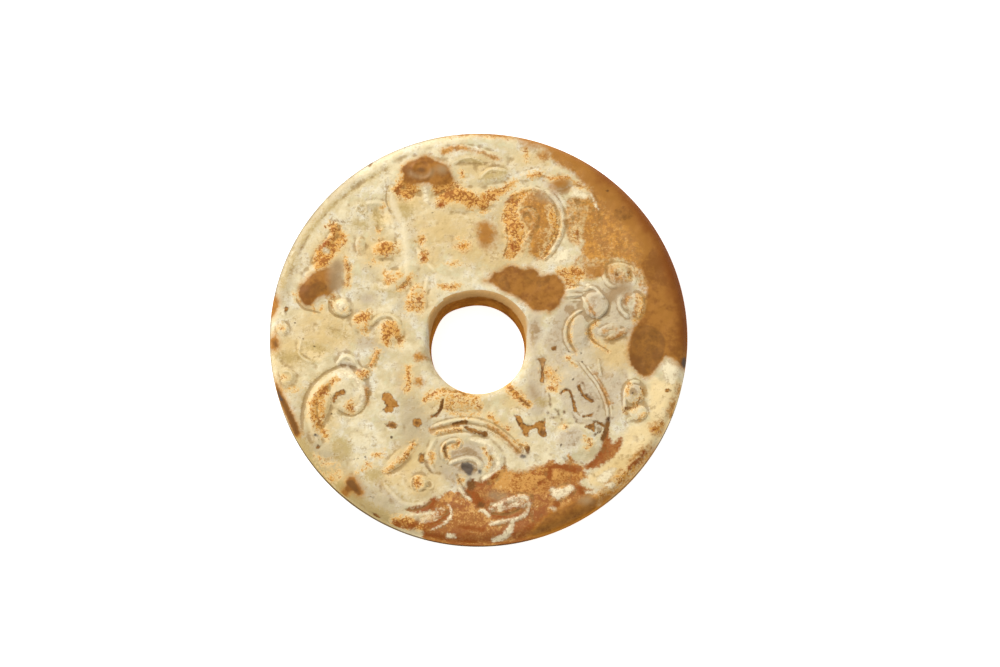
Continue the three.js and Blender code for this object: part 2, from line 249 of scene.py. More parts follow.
topClouds = {
    "worn": 0.9,
    "swells": [
        (0.45, -10.6, 31.4, 6.8, 4.2, -8), (0.24, -2, 26.6, 7.6, 2.6, 5), (0.2, 10.3, 31.5, 3, 1.2, 12),
        (0.2, 2.8, 31.4, 3.6, 1.8, 8), (0.18, -1.8, 35.2, 5, 1.6, -8),
    ],
    "rings": [(0.8, 0.22, -10.9, 32.2, 1.8), (0.5, 0.16, -22.5, 24.7, 1)],
    "ridges": [
        (0.9, 0.18, (-7.2, 36.2), (-2.5, 36.9, -15), (4.5, 34.6, -20)),
        (0.8, 0.18, (0.2, 30.4), (2.2, 32.4, -40), (5.2, 32, -40)),
        (0.7, 0.14, (-5.2, 33.4), (-2, 34.8, -30), (1, 33.6, -40)),
        (3.2, 0.28, (-16.9, 28.4), (-14.4, 21.5, 25), (-13.7, 12, -10), (-19.6, 9.2, -70)),
        (1.2, 0.14, (-11.8, 17), (-8.3, 12.4, 20)), (1, 0.16, (-21.8, 25.7), (-17.8, 25.6, -40)),
        (2, 0.12, (-10.2, 29.4), (-10, 25.6, 0)), (1, 0.14, (-9.6, 11.6), (-10.4, 5.2, 20)),
        (1, 0.14, [(-14.4, 30), (-16.2, 28.6), (-17, 26.6), (-16.6, 24.6), (-15.4, 22.8)]),
    ],
    "cuts": [
        (2.2, 0.13, (-17.6, 32.7), (-37.5, 9.3, 47)), (2.2, 0.12, (-19.6, 24.6), (-19.1, 20.4, 10)),
        (0.8, 0.16, (-13.6, 10.8), (-16.2, 8.6, -30)),
        (0.7, 0.18, [(-17.4, 29.2), (-17.9, 27.2), (-17.6, 25.4), (-16.6, 23.6)]),
    ],
}
leftScrolls = {
    "worn": 0.95,
    "swells": [
        (0.32, -30.4, 10.6, 6.4, 3.6, 62), (0.22, -18, 16.8, 3, 2, 8), (0.22, -16.4, 11.3, 2.6, 1.8, 15),
        (0.18, -12.1, 7.4, 2.8, 1.8, 80), (0.28, -22.3, 2.6, 2.4, 2.2), (0.26, -17, 0.8, 3, 2.8),
        (0.34, -22.2, -7.6, 1.8, 1.5), (0.22, -22.7, 17.5, 1.1, 2, 5), (0.34, -26.1, 5.4, 2.2, 2.1),
        (0.42, -30.4, -13.4, 6.4, 2.8, 72), (0.42, -25.2, -10.8, 4.8, 4.8), (0.24, -36.6, -8.1, 2.2, 2.2),
        (0.2, -37.5, 1.3, 1.6, 1.6), (0.24, -24.8, -4.8, 2.4, 1.6, -15),
    ],
    "rings": [(0.5, 0.14, -37.5, 1.3, 0.9), (0.6, 0.18, -36.6, -8.1, 1.1), (0.5, 0.18, -25.6, 5.3, 0.8)],
    "ridges": [
        (1.2, 0.2, (-31.6, 14.6), (-28.6, 18.5, 0), (-27.4, 21.8, 20)), (0.9, 0.2, (-25.4, 15), (-25.3, 9.4, -10)),
        (0.7, 0.26, [(-27.9, 6.6), (-27.8, 5.2), (-26.9, 4.2), (-25.6, 3.8), (-24.5, 4.4)]),
        (0.7, 0.14, (-37.4, 3.6), (-36.6, 5.8, 0)), (0.9, 0.22, (-20.4, 2), (-15, 2.3, -130)),
        (0.8, 0.28, [(-27, -5.7), (-26.2, -4.6), (-25, -4.1), (-24, -4.6), (-23.3, -5.7), (-22.5, -6.6)]),
        (0.8, 0.24, (-19.1, -3), (-20.5, -6.2, 0)),
        (2.2, 0.22, [(-30.4, -21), (-31.8, -18), (-32.2, -15), (-31.6, -12), (-30, -9.6), (-27.6, -7.8),
            (-25.2, -7.4), (-23.2, -8.4), (-22, -10.4), (-21.9, -12.6), (-23, -14.4), (-24.8, -14.8),
            (-26.2, -13.8)]),
        (0.6, 0.18, (-28.8, 22.2), (-25.6, 21.8, -20)),
        (0.7, 0.14, (-33.7, -0.6), (-34.3, -3.6, 20), (-31.4, -5.2, 60)),
    ],
    "cuts": [
        (1.1, 0.28, [(-26, -6), (-25, -5.6), (-24.2, -6), (-23.4, -7)]),
        (0.8, 0.26, [(-33.5, -19), (-33.6, -15), (-32.8, -11.4), (-30.8, -8.6), (-28.4, -6.8), (-26.4, -6.2)]),
        (0.7, 0.22, (-35, 7.4), (-33, 5, 50), (-29.8, 4.4, 10)),
        (0.6, 0.2, [(-28.6, 6.8), (-28.6, 5), (-27.4, 3.6), (-25.6, 3.2)]),
        (1, 0.24, [(-27.6, -12.4), (-26.6, -11.4), (-25.4, -11.2)]),
        (0.6, 0.2, [(-26.6, -14.6), (-24.6, -15.9), (-22.4, -15.2), (-21, -13), (-20.9, -10.8)]),
        (0.8, 0.16, (-30.9, -9.8), (-30.2, -18, 12)),
    ],
}
lowerScrolls = {
    "worn": 0.85,
    "swells": [
        (0.36, -2.5, -23.4, 7.8, 5.4, -10), (0.34, -11.2, -28.6, 2.2, 2), (0.24, -13.6, -29.4, 5.2, 3.2, -30),
        (0.26, -4.2, -12.6, 7.2, 2.2, -4), (0.22, 16.3, -30.2, 2.8, 1.4, 22), (0.2, 8.2, -16, 2.8, 1.4, -40),
        (0.2, 6.4, -32.4, 4.2, 2, 12), (0.22, -15, -23.8, 4.6, 1.6, 42),
    ],
    "rings": [(0.5, 0.2, -11.4, -28.6, 1.3), (0.4, 0.14, -9.4, -28.9, 0.8)],
    "ridges": [
        (0.9, 0.34, [(-8.9, -17.9), (-6.4, -17), (-3.6, -16.4), (-0.8, -16.5), (2, -17.3), (4.4, -18.8),
            (6.4, -20.6), (8.2, -22.4)]),
        (0.7, 0.28, [(-8, -18.8), (-5.4, -18.3), (-2.8, -18), (-0.8, -18.8), (1.2, -19.4)]),
        (0.5, 0.2, [(0.6, -17.7), (3.2, -19), (5.4, -20.7), (7.4, -22.6)]),
        (0.7, 0.36, [(-6.6, -24.2), (-7, -22.6), (-6.6, -21.2), (-5.4, -20.4), (-4, -20.3), (-3.3, -21),
            (-3.7, -21.8)]),
        (1.6, 0.3, [(-1.5, -20.3), (1.2, -20.8), (3.2, -22.2), (4.2, -24.2), (3.9, -26.2), (2.6, -27.6), (1, -28)]),
        (1, 0.18, (-8, -20), (-9.7, -23.5, 30), (-8.3, -26.4, 35)),
        (1, 0.36, [(-5.4, -24.9), (-3.6, -24.1), (-1.6, -23.8), (-0.1, -24.3), (0.6, -25.6)]),
        (1.2, 0.18, (-17.2, -26.4), (-12, -20.9, 5)),
        (1.6, 0.16, (-18.2, -28.2), (-14.6, -32.2, 20), (-9.6, -32.2, 45)),
        (0.8, 0.2, (-5.6, -32.6), (-5, -35.3, -30), (-9.4, -37.6, -15)),
        (0.9, 0.2, [(2, -33.6), (4.4, -32.6), (7, -31.4), (9, -31), (9.9, -32.2), (9.4, -34.2), (7.6, -35.4),
            (5, -35.9), (2.4, -36.5)]),
        (0.8, 0.18, (5.8, -36.6), (3.4, -39.2, -60)), (0.6, 0.16, (-13.4, -34.8), (-9.2, -34.5, 10)),
        (0.6, 0.26, (-3.8, -29.2), (-1.4, -31.8, 15)), (0.7, 0.2, (0.4, -33.6), (2, -34.8, -30)),
        (0.8, 0.18, (1.4, -22.2), (2.2, -25.6, -25)),
    ],
    "cuts": [
        (0.7, 0.35, (-6.7, -12.4), (-8.8, -15.8, -80)),
        (0.6, 0.25, (-7.9, -19.6), (-2.2, -18.6, -10), (1.2, -20, -20)),
        (0.6, 0.25, (-5, -17.2), (-0.4, -17.4, -20), (4.6, -19.7, -15)),
        (0.5, 0.22, [(-10.2, -24), (-10, -25.4), (-8.8, -26.6)]),
        (0.8, 0.28, [(2.4, -34.4), (4.4, -34.7), (6.6, -34.4), (8, -33.4)]),
        (0.6, 0.2, (-9.4, -35.9), (-5.4, -34, 25)), (0.6, 0.24, (-6.2, -21.6), (-5.8, -23.9, 20)),
        (1.6, 0.3, [(-3.2, -25.6), (-1.8, -25.8), (-0.2, -26.2)]),
        (0.8, 0.24, [(-13.8, -33.6), (-11.6, -33.8), (-9.6, -32.8), (-8.6, -31.8)]),
    ],
}
motifs = [dragonHead, dragonBody, upperScroll, topClouds, leftScrolls, lowerScrolls]

carvingFeel = {
    "ridgeWidth": 1.2,  # wear has lowered the lines and spread their feet
    "ridgeHeight": 0.90,
    "cutWidth": 0.85,
    "cutDepth": 0.75,
    "moatShare": 0.14,  # how deep a ridge is set off from the field, as a share of its height
    "crestSharpness": 1.25,
    "moatPlace": 1.25,
    "moatWidth": 0.38,
    "lineReach": 1.5,  # widths of a line within which places are looked at
    "endTaper": 0.12,  # share of a line over which its ends thin out
    "endWidth": 0.55,
    "swellEdge": 0.45,
    "rimFade": (1.0, 2.4),  # distances from the rim and the bore between which the carving starts
    "boreFade": (0.0, 1.6),
    "unevenness": ((6.0, 0.20), (2.2, 0.15), (0.9, 0.09)),  # grain size and height of the worn surface
    "latticeCells": 256,  # cells of that noise before it repeats, and a shift that keeps places positive
    "latticeShift": 60,
}


def arcPath(start, arcs, pieces=7):
    if isinstance(start, list):
        return roundOff(start, times=3)
    path = [np.array(start, float)]
    for endX, endY, turn in arcs:
        chord = np.array((endX, endY)) - path[-1]
        origin, half = path[-1], math.radians(turn) / 2
        for step in range(1, pieces + 1):
            share = step / pieces
            reach = math.sin(half * share) / math.sin(half) if half else share
            swing = half * (share - 1)
            turned = (chord[0] * math.cos(swing) - chord[1] * math.sin(swing),
                      chord[0] * math.sin(swing) + chord[1] * math.cos(swing))
            path.append(origin + reach * np.array(turned))
    return np.array(path)


def ringPath(ringX, ringY, radius, pieces=28):
    turns = np.linspace(0, 2 * math.pi, pieces + 1)
    return np.column_stack((ringX + radius * np.cos(turns), ringY + radius * np.sin(turns)))


def roundOff(points, closed=False, times=2):
    points = np.array(points, float)
    for _ in range(times):
        before = points if closed else points[:-1]
        after = np.roll(points, -1, 0) if closed else points[1:]
        cut = np.stack((0.75 * before + 0.25 * after, 0.25 * before + 0.75 * after), 1).reshape(-1, 2)
        points = cut if closed else np.vstack((points[:1], cut, points[-1:]))
    return points


def nearPath(px, py, path, margin):
    low, high = path.min(0) - margin, path.max(0) + margin
    return np.nonzero((px > low[0]) & (px < high[0]) & (py > low[1]) & (py < high[1]))[0]


def distanceToPath(px, py, path):  # and how far along the path the nearest point is
    nearest, along = np.full(px.shape, 1e9), np.zeros(px.shape)
    for index in range(len(path) - 1):
        stepX, stepY = path[index + 1] - path[index]
        fromX, fromY = px - path[index][0], py - path[index][1]
        share = np.clip((fromX * stepX + fromY * stepY) / (stepX ** 2 + stepY ** 2), 0, 1)
        distance = np.hypot(fromX - share * stepX, fromY - share * stepY)
        closer = distance < nearest
        nearest[closer] = distance[closer]
        along[closer] = (index + share[closer]) / (len(path) - 1)
    return nearest, along


def ovalReach(px, py, midX, midY, halfLength, halfWidth, turn=0):  # 0 in the middle of an oval, 1 at its edge
    turn = math.radians(turn)
    fromX, fromY = px - midX, py - midY
    return np.hypot((fromX * math.cos(turn) + fromY * math.sin(turn)) / halfLength,
                    (fromY * math.cos(turn) - fromX * math.sin(turn)) / halfWidth)


def softNoise(px, py, grain, seed, cells, shift):
    lattice = np.random.default_rng(seed).random((cells + 1, cells + 1)) - 0.5
    gridX, gridY = (px + shift) / grain, (py + shift) / grain
    cellX, cellY = np.floor(gridX).astype(int), np.floor(gridY).astype(int)
    shareX, shareY = smoothStep(gridX - cellX, 0, 1), smoothStep(gridY - cellY, 0, 1)
    lowX, lowY = cellX % cells, cellY % cells
    lower = lattice[lowX, lowY] * (1 - shareX) + lattice[lowX + 1, lowY] * shareX
    upper = lattice[lowX, lowY + 1] * (1 - shareX) + lattice[lowX + 1, lowY + 1] * shareX
    return lower * (1 - shareY) + upper * shareY


def carve(px, py, motifs, feel):
    swell, raised, cut, moat, crest = (np.zeros(px.shape) for _ in range(5))
    lines = []
    for motif in motifs:
        for height, *oval in motif["swells"]:
            reach = ovalReach(px, py, *oval)
            swell = np.maximum(swell, height * (1 - smoothStep(reach, feel["swellEdge"], 1)))
        thin, low = feel["ridgeWidth"], feel["ridgeHeight"] * motif["worn"]
        narrow, shallow = feel["cutWidth"], -feel["cutDepth"] * motif["worn"]
        lines += [(thin * width, low * height, ringPath(*ring), True)
                  for width, height, *ring in motif.get("rings", [])]
        lines += [(thin * width, low * height, arcPath(start, arcs), False)
                  for width, height, start, *arcs in motif["ridges"]]
        lines += [(narrow * width, shallow * depth, arcPath(start, arcs), False)
                  for width, depth, start, *arcs in motif["cuts"]]
    for width, height, path, closed in lines:
        near = nearPath(px, py, path, feel["lineReach"] * width)
        distance, along = distanceToPath(px[near], py[near], path)
        ends = np.minimum(along, 1 - along) / feel["endTaper"]
        taper = 1.0 if closed else feel["endWidth"] + (1 - feel["endWidth"]) * np.clip(ends, 0, 1)
        nearness = distance / (width / 2 * taper)
        form = np.clip(1 - nearness, 0, 1) ** feel["crestSharpness"] * taper
        if height > 0:
            raised[near] = np.maximum(raised[near], height * form)
            crest[near] = np.maximum(crest[near], form)
            dip = np.exp(-((nearness - feel["moatPlace"]) / feel["moatWidth"]) ** 2)
            moat[near] = np.maximum(moat[near], height * feel["moatShare"] * dip)
        else:
            cut[near] = np.minimum(cut[near], height * form)
    uneven = sum(size * softNoise(px, py, grain, seed, feel["latticeCells"], feel["latticeShift"])
                 for seed, (grain, size) in enumerate(feel["unevenness"]))
    return swell + raised + cut - moat * (1 - crest) + uneven, crest


onFace = z > blank["fieldHeight"] / 2
fromRim = blank["discRadius"] - np.hypot(x, y)
fromBore = np.hypot(x - blank["boreCentre"][0], y - blank["boreCentre"][1]) - blank["boreFront"]
fade = smoothStep(fromRim, *carvingFeel["rimFade"]) * smoothStep(fromBore, *carvingFeel["boreFade"]) * onFace
lift, crest = carve(x, y, motifs, carvingFeel)
lift, crest = lift * fade, crest * fade
places[:, 2] += lift
disc.data.vertices.foreach_set("co", (places * mm).astype(np.float32).ravel())
disc.data.update()
print("face carved: lift from %.2f to %.2f mm" % (lift.min(), lift.max()))

# Stains, in millimetres. An area is an outline, or a limit and an outline: the limit is how far the stain
# gets from its edge there, and below zero it stays faint. Lines: width, points.
# Spots: x, y, half length, half width, and turn where there is one.
polishedBrown = {  # smooth brown jade where the weathered skin has gone
    "areas": {
        "hat": [(-15, 32.2), (-14.2, 33.2), (-13.3, 34), (-12, 34.2), (-11, 35), (-9.6, 35.2), (-8.6, 34.3),
            (-7.2, 33.7), (-6.2, 33.2), (-5.6, 32.2), (-5, 31), (-4.9, 30.3), (-5.8, 29.6), (-7.5, 29.2),
            (-8.7, 29.3), (-9.6, 29.6), (-11, 29.6), (-12.2, 29.4), (-13.5, 29.5), (-14.8, 30.1), (-14.2, 31.3)],
        "twoLobes": [(0.8, 10.6), (2.2, 10.8), (2.8, 12.2), (4.4, 12.5), (5.5, 13.6), (7, 13.5), (8, 13), (9, 12.8),
            (9.6, 13.4), (10.4, 13), (11.6, 12.2), (11.2, 11.6), (12.5, 11.4), (13.9, 12), (15.2, 11.6),
            (16.4, 10.2), (16.5, 8.5), (16.1, 7), (15.2, 5.7), (14.3, 5), (13.6, 4.2), (13.2, 4.9), (11.8, 4.8),
            (10.3, 5), (9.8, 5.9), (8.4, 6.6), (7.2, 7.5), (6.3, 8), (5.2, 8.4), (4, 9.2), (3, 10.1), (2, 10.3)],
        "rightPatch": [(30.8, 13.8), (31.6, 12.6), (32.2, 11), (32.4, 9), (32.2, 7.4), (32.3, 5.4), (31.6, 3.6),
            (30.3, 2.2), (29.4, 0.8), (28.8, -1.5), (28.6, -3.5), (28.8, -5.3), (29.6, -6.2), (30.3, -7.2),
            (31.2, -8), (32, -8.2), (33.2, -7.4), (34.2, -6), (35, -5), (35.4, -4.1), (36.3, -4.2), (37.5, -4.8),
            (38.4, -5.4), (39, -6.2), (41.5, -6.5), (43, 4), (41, 20), (34, 31), (24, 38), (20, 36), (25, 31.6),
            (29, 27.4), (32, 23.4), (33.6, 19.4), (33, 16.4), (31.6, 14.6)],
        "bottomRim": [(14.5, -34), (16.5, -33.4), (18.2, -32.4), (20.5, -31.3), (22.3, -31.6), (22.4, -33),
            (23, -34), (19, -38), (14, -40), (10, -41.5), (6, -41), (9, -39.3), (10.8, -37.6), (12.6, -35.5)],
        "leftMound": [(-34.4, 7.8), (-34.2, 9.4), (-33.2, 10.6), (-32, 11.8), (-30.8, 12.4), (-29.6, 12.8),
            (-28.6, 13.2), (-27.6, 12.4), (-27.2, 10.6), (-27.4, 9), (-28.6, 8), (-30.2, 7.7), (-31.1, 7),
            (-31.8, 6), (-32.8, 5.6), (-33.8, 6.4)],
        "lowerLeft": [(-24.8, -27.8), (-24.2, -27.3), (-23.2, -27.8), (-22.8, -28.6), (-22.4, -29.4),
            (-21.8, -30.2), (-22, -31), (-22.8, -31), (-23.4, -30.2), (-24.2, -30), (-24.6, -30.6), (-25.3, -31.2),
            (-26, -30.7), (-26, -29.9), (-25.3, -29.5), (-25, -28.7)],
        "rimWedge": [(-38.9, 7.8), (-38.1, 6.6), (-38.5, 5.6), (-39.2, 3.6), (-41, 3.6), (-41, 8)],
    },
    "lines": [
        (1.3, [(-40, -8.5), (-38.6, -10.2), (-37.7, -12), (-36.9, -13.8), (-35.8, -16), (-34.9, -18),
            (-34.6, -19)]),
    ],
    "spots": [(-39, -1.4, 0.8, 1.3)],
}
tanMarks = {  # small smooth marks, lighter than the large bare patches, and a painted shadow line under an arch
    "areas": {
        "kidney": [(-18.4, -11.4), (-17.6, -11.1), (-16.9, -12), (-16, -12.5), (-15.2, -12.8), (-15.3, -13.6),
            (-16.3, -14.2), (-17, -15), (-17.9, -14.9), (-17.6, -13.8), (-18.3, -12.5)],
        "archedLobes": [(6.5, -15.2), (7.2, -15.5), (8.2, -15.8), (8.4, -16.7), (9.1, -17.4), (10.3, -17.5),
            (11, -16.8), (12, -16.4), (12.5, -16.6), (12.8, -16), (12.8, -17.4), (12.7, -18.3), (13.1, -19),
            (12.8, -19.7), (12, -19.8), (11.3, -19.3), (11.2, -18.2), (10.6, -18), (9.6, -18.4), (9.6, -19.6),
            (9.2, -19.8), (8.5, -19.2), (8.2, -18.2), (7.6, -17.2), (7, -16.2)],
        "commaBar": [(-27.9, -12.8), (-27.5, -11.7), (-26.7, -10.8), (-25.7, -10.5), (-24.9, -11), (-25.4, -11.8),
            (-26.5, -11.9), (-27.2, -12.7), (-27.6, -13.9)],
        "triangle": [(20, -17.9), (21, -17.4), (22.2, -16.6), (22.1, -17.8), (22.2, -19), (21.2, -18.4)],
        "wedge": [(10.9, -4.5), (13.3, -4.4), (12.6, -5.6), (12.3, -7), (12.6, -8), (12.5, -9.3), (11.8, -9.2),
            (11.8, -7.5), (12, -6), (11.5, -5)],
    },
    "lines": [
        (0.6, [(-6.8, -12.5), (-7.2, -14.5), (-8, -15.7), (-8.8, -15.8)]),
        (0.5, [(15.7, -11.3), (16.6, -10.7), (17.4, -10.9), (17.9, -12.2), (18.2, -13.8), (18.6, -14.8)]),
        (0.55, [(19.1, -9.9), (19.5, -11), (20.2, -12.1), (21.6, -12.9)]), (0.5, [(20, -15.8), (21.6, -15.4)]),
        (0.35, [(22, -17), (23, -17), (24, -17.9)]), (0.7, [(24.6, -17.2), (24.3, -18.6), (23.6, -19.8)]),
        # the first line is a painted shadow under the arch
        (0.7, [(-2.5, -17.9), (-0.5, -18.8), (1.2, -19.1)]), (0.9, [(-4.6, -17.3), (-2.6, -16.9)]),
    ],
    "spots": [
        (14.4, -2.6, 0.45, 0.45), (-17.4, -12.1, 1, 1.1), (-16.2, -13.4, 1.1, 0.8, -10),
        (-17.1, -14.4, 0.9, 0.6, 10), (-16.5, -17.4, 1.1, 0.6, -5), (-11.7, -17, 0.9, 0.9),
        (-10.8, -23.7, 0.6, 0.9), (-30.5, -21.6, 0.4, 0.4), (-19.3, -34.9, 0.9, 0.35, -35), (1.2, -19.1, 0.6, 0.55),
        (26.4, 11.8, 0.3, 0.35), (28.6, 12.1, 0.3, 0.6), (22.9, 12, 0.9, 0.7, -15), (-36.8, 4.8, 0.35, 0.75),
        (9.3, -21.9, 0.5, 0.7), (-20.8, 33.5, 0.4, 0.25, 40), (36.2, -10.7, 0.6, 0.35, 10),
    ],
}
honeyTan = {  # smooth honey-coloured stain under the skin
    "areas": {
        "scrollMiddle": [(9.9, 15.6), (11.8, 14.8), (13.8, 16.5), (15.2, 18.6), (15.7, 21.5), (15.2, 24.2),
            (13.4, 26.5), (11.4, 28.2), (8.5, 28.4), (6.5, 27), (6.3, 25.4), (8.6, 25.2), (10.8, 24.6),
            (11.2, 22.5), (10.2, 19.8), (9.6, 17.5)],
        "rightFringe": [(20.8, 14.6), (19.8, 16), (20, 18), (19.6, 21), (21, 25), (22, 27.6), (20.4, 30),
            (16, 33.4), (13, 35), (16, 37), (24, 32), (30, 25), (34, 16), (33, 12), (30.5, 12.8), (29.4, 14),
            (26, 15), (23, 14.6)],
        "nearEye": (-0.3, [(24.6, 13.4), (26.6, 14), (28.8, 13.6), (29.4, 12), (28.4, 10.6), (26.4, 10.2),
            (24.8, 11.2)]),
        "farEye": (1, [(30, 8.6), (31.4, 8.4), (32.8, 6.5), (32.6, 4), (30.8, 2), (29, 3), (29.9, 5), (30.2, 7)]),
        "farBall": (-0.35, [(28.2, 7.8), (29.4, 8), (30.4, 6.6), (30, 4.8), (28.8, 4.6), (28.2, 6)]),
        "headEdge": (-0.05, [(29.6, 13.6), (31, 13.2), (32.6, 11), (32.8, 8.2), (31.8, 8.4), (30.8, 10.6),
            (29.8, 12)]),
        "headTop": (-0.05, [(17.6, 13.6), (18.6, 11.4), (21, 11.2), (23, 11.6), (24.2, 13), (26.4, 14.2),
            (29.6, 14), (30.6, 15.6), (26, 17), (20, 16)]),
        "streaks": (0.1, [(17.2, 26.8), (18.4, 27), (20, 26), (21, 24), (20.6, 20), (20, 17.8), (18.4, 17.8),
            (17, 19.4), (16.8, 22), (16.9, 25)]),
        "teardrop": (-0.1, [(-23.4, 17), (-23, 16.3), (-22.3, 16.6), (-22, 18), (-22.2, 19.2), (-22.9, 18.4)]),
        "boreLeft": (-0.1, [(-12.2, 4.8), (-12, 7), (-12, 8.8), (-11, 9), (-10.4, 7.6), (-10.6, 5)]),
        "hook": (0.25, [(7.2, 23.6), (8.2, 24.8), (9.4, 25.2), (10.8, 24.6), (11.4, 23), (11, 20.6), (10, 18.6),
            (8.6, 16.6), (7.4, 16), (8, 19), (7.8, 21)]),
        "rustBand": [(2.2, -27.4), (5, -26), (9, -26.6), (13, -25), (17, -26.4), (20.5, -26.6), (18.8, -28.4),
            (14, -28.6), (12, -30.6), (10.4, -30.2), (6.5, -30.2), (3, -29.6)],
    },
    "lines": [
        (1, [(37.4, -12.6), (36.6, -15.6)]), (0.9, [(-6.8, 36), (-5.4, 36.5), (-4, 36.7), (-2.6, 36.7)]),
        (0.5, [(-2, 36.4), (-0.4, 36.1), (1.2, 35.6)]), (0.4, [(1.4, 35.4), (2.4, 35.1), (3.8, 34.5)]),
        (0.8, [(-8.6, -18.3), (-6.6, -18.1), (-4.8, -17.5)]),
        (0.5, [(1.5, -17.4), (3.5, -18.5), (5.3, -20), (6.5, -21.3), (7.5, -22.2)]),
        (0.5, [(22.4, -7.6), (23.3, -9.5), (24.1, -11.2), (24.8, -13.3)]), (0.7, [(-21.4, -10.5), (-21.2, -13.2)]),
        (0.35, [(18.3, 3.7), (17.4, 2.2), (17.2, 0.6), (17.5, -1.4), (18.4, -3.2)]),
        (0.7, [(22.3, 2.5), (21.4, 1.8), (21.1, 0.6), (21.7, -0.8), (22.8, -1.8), (24.8, -3)]),
        (0.3, [(24.1, 0.6), (25, 1), (26.2, 1.3)]),
        (0.7, [(30.3, 8), (31.2, 7), (31.5, 5.6), (31, 4.2), (30, 3.2)]),
        (0.45, [(28.8, 12.8), (29.1, 11.6), (28.7, 10.8)]), (0.4, [(28.4, 7.4), (28.2, 5.8), (29, 4.4)]),
        (0.4, [(25.6, 12.6), (25.6, 11.2), (26.8, 10.7), (27.9, 11.4)]),
        (0.5, [(24.4, -1.2), (26.2, -0.6), (28, 0.6)]), (0.35, [(20.6, 6.6), (21.4, 5), (22.2, 4)]),
        (0.4, [(30.4, 12.2), (31.2, 10.8), (31, 9.2)]),
    ],
    "spots": [
        (-3, 17.2, 1.4, 1), (1.3, 19.8, 1.5, 2), (-11.2, -4.2, 1, 0.9), (-11.2, -9.1, 0.9, 0.7),
        (20.9, 25.8, 0.9, 0.7), (12.4, 35, 0.9, 0.5), (-30.3, 15.4, 1.5, 2, -30), (13.6, -7.4, 1.4, 1, -20),
        (8.2, -12.4, 0.7, 1.8, 50), (38.6, -12, 0.9, 2), (34, -18, 1.6, 1.4, -30), (30.6, -24.2, 3.2, 1.5, 50),
        (26.6, -28.2, 2.8, 1.6, 40), (24, -30.8, 2, 1.2, 30),
    ],
}
oliveTint = {  # faint olive staining of the skin, and some painted shadow lines along grooves and ridges
    "lines": [
        # the groove inside the rim: olive speckle and a painted shadow band
        (1, [(-17.6, 32.6), (-23, 29.4), (-27.4, 25.9), (-31.2, 22.2), (-34.2, 17.6), (-36.6, 12.6), (-37.6, 9.4)]),
        (0.9, [(-19.8, 9.2), (-17.8, 8.8), (-15.6, 8.8), (-14, 9.9)]),
        (1.6, [(-19.7, 24.4), (-19.2, 22.4), (-18.9, 20.4)]),
        (0.9, [(-34.8, -3.6), (-34, -4.4), (-32.8, -4.9), (-31.2, -5.3)]),
        (0.6, [(-38.4, 1.3), (-37.5, 2.2), (-36.6, 1.3), (-37.5, 0.4), (-38.4, 1.3)]),
        (0.7, [(-37.7, -8.1), (-36.6, -7), (-35.5, -8.1), (-36.6, -9.2), (-37.7, -8.1)]),
        (0.5, [(-26.6, -14.6), (-24.6, -15.9), (-22.4, -15.2), (-21, -13), (-20.9, -10.8)]),
        # painted shadow left of the ridge by the hat
        (0.6, [(-17, 29.2), (-17.6, 27.4), (-17.3, 25.4), (-16.2, 23.6), (-15, 22.4)]),
        (0.5, [(-28.6, 6.8), (-28.5, 5), (-27.3, 3.7), (-25.4, 3.3)]),
        (0.4, [(-26.5, 5.3), (-25.6, 6.1), (-24.8, 5.3), (-25.6, 4.5), (-26.5, 5.3)]),
        (0.6, [(-20.4, 2), (-19.4, 3.5), (-17.6, 4), (-15.8, 3.4)]),
        (2.4, [(-35, -19), (-31, -25), (-26, -29.6), (-21, -33.2), (-16, -36)]),
        (0.7, [(-33.6, -14), (-32.4, -9.8), (-29.4, -7.4), (-27, -6.2)]),
        (0.7, [(-23.4, 24.4), (-22.4, 25.8), (-21.4, 24.8), (-22.4, 23.8), (-23.3, 24.6)]),
        (0.8, [(0.2, 30.4), (2.2, 32.2), (5, 31.9)]), (0.8, [(-3.6, 34), (-2, 34.7), (0.6, 33.6)]),
        # the first line is a painted groove shadow
        (1, [(-17.4, -29), (-15.4, -31.4), (-12, -32.6)]), (0.8, [(-26.4, -15), (-23.6, -15.6), (-21.4, -13)]),
    ],
    "spots": [
        (-23, 21.6, 2.2, 0.9, -8), (-14.2, 24.4, 1.4, 1.8), (-11.3, -4.1, 1, 0.8), (-9.4, -4.6, 0.8, 0.4),
        (-36.4, -4.4, 2.4, 1.2), (-28.2, -27.2, 1.8, 1.6), (-38.8, -3.6, 0.7, 1.4), (15.8, 29.8, 1.8, 1.3),
        (3, 31.2, 2.4, 1, 15), (-31, -2.4, 2.2, 0.8, -10), (-27, 0.6, 2.4, 0.8, -25), (-35.6, -10.2, 1.4, 0.8),
        (18.5, 11.5, 2, 1.2, -20), (21, 10.8, 1.6, 0.8), (-26, -22, 2, 2.4), (-20, -27, 2, 1.4), (-4, -13, 4, 1.6),
        (12, -13, 1.5, 1),
    ],
}
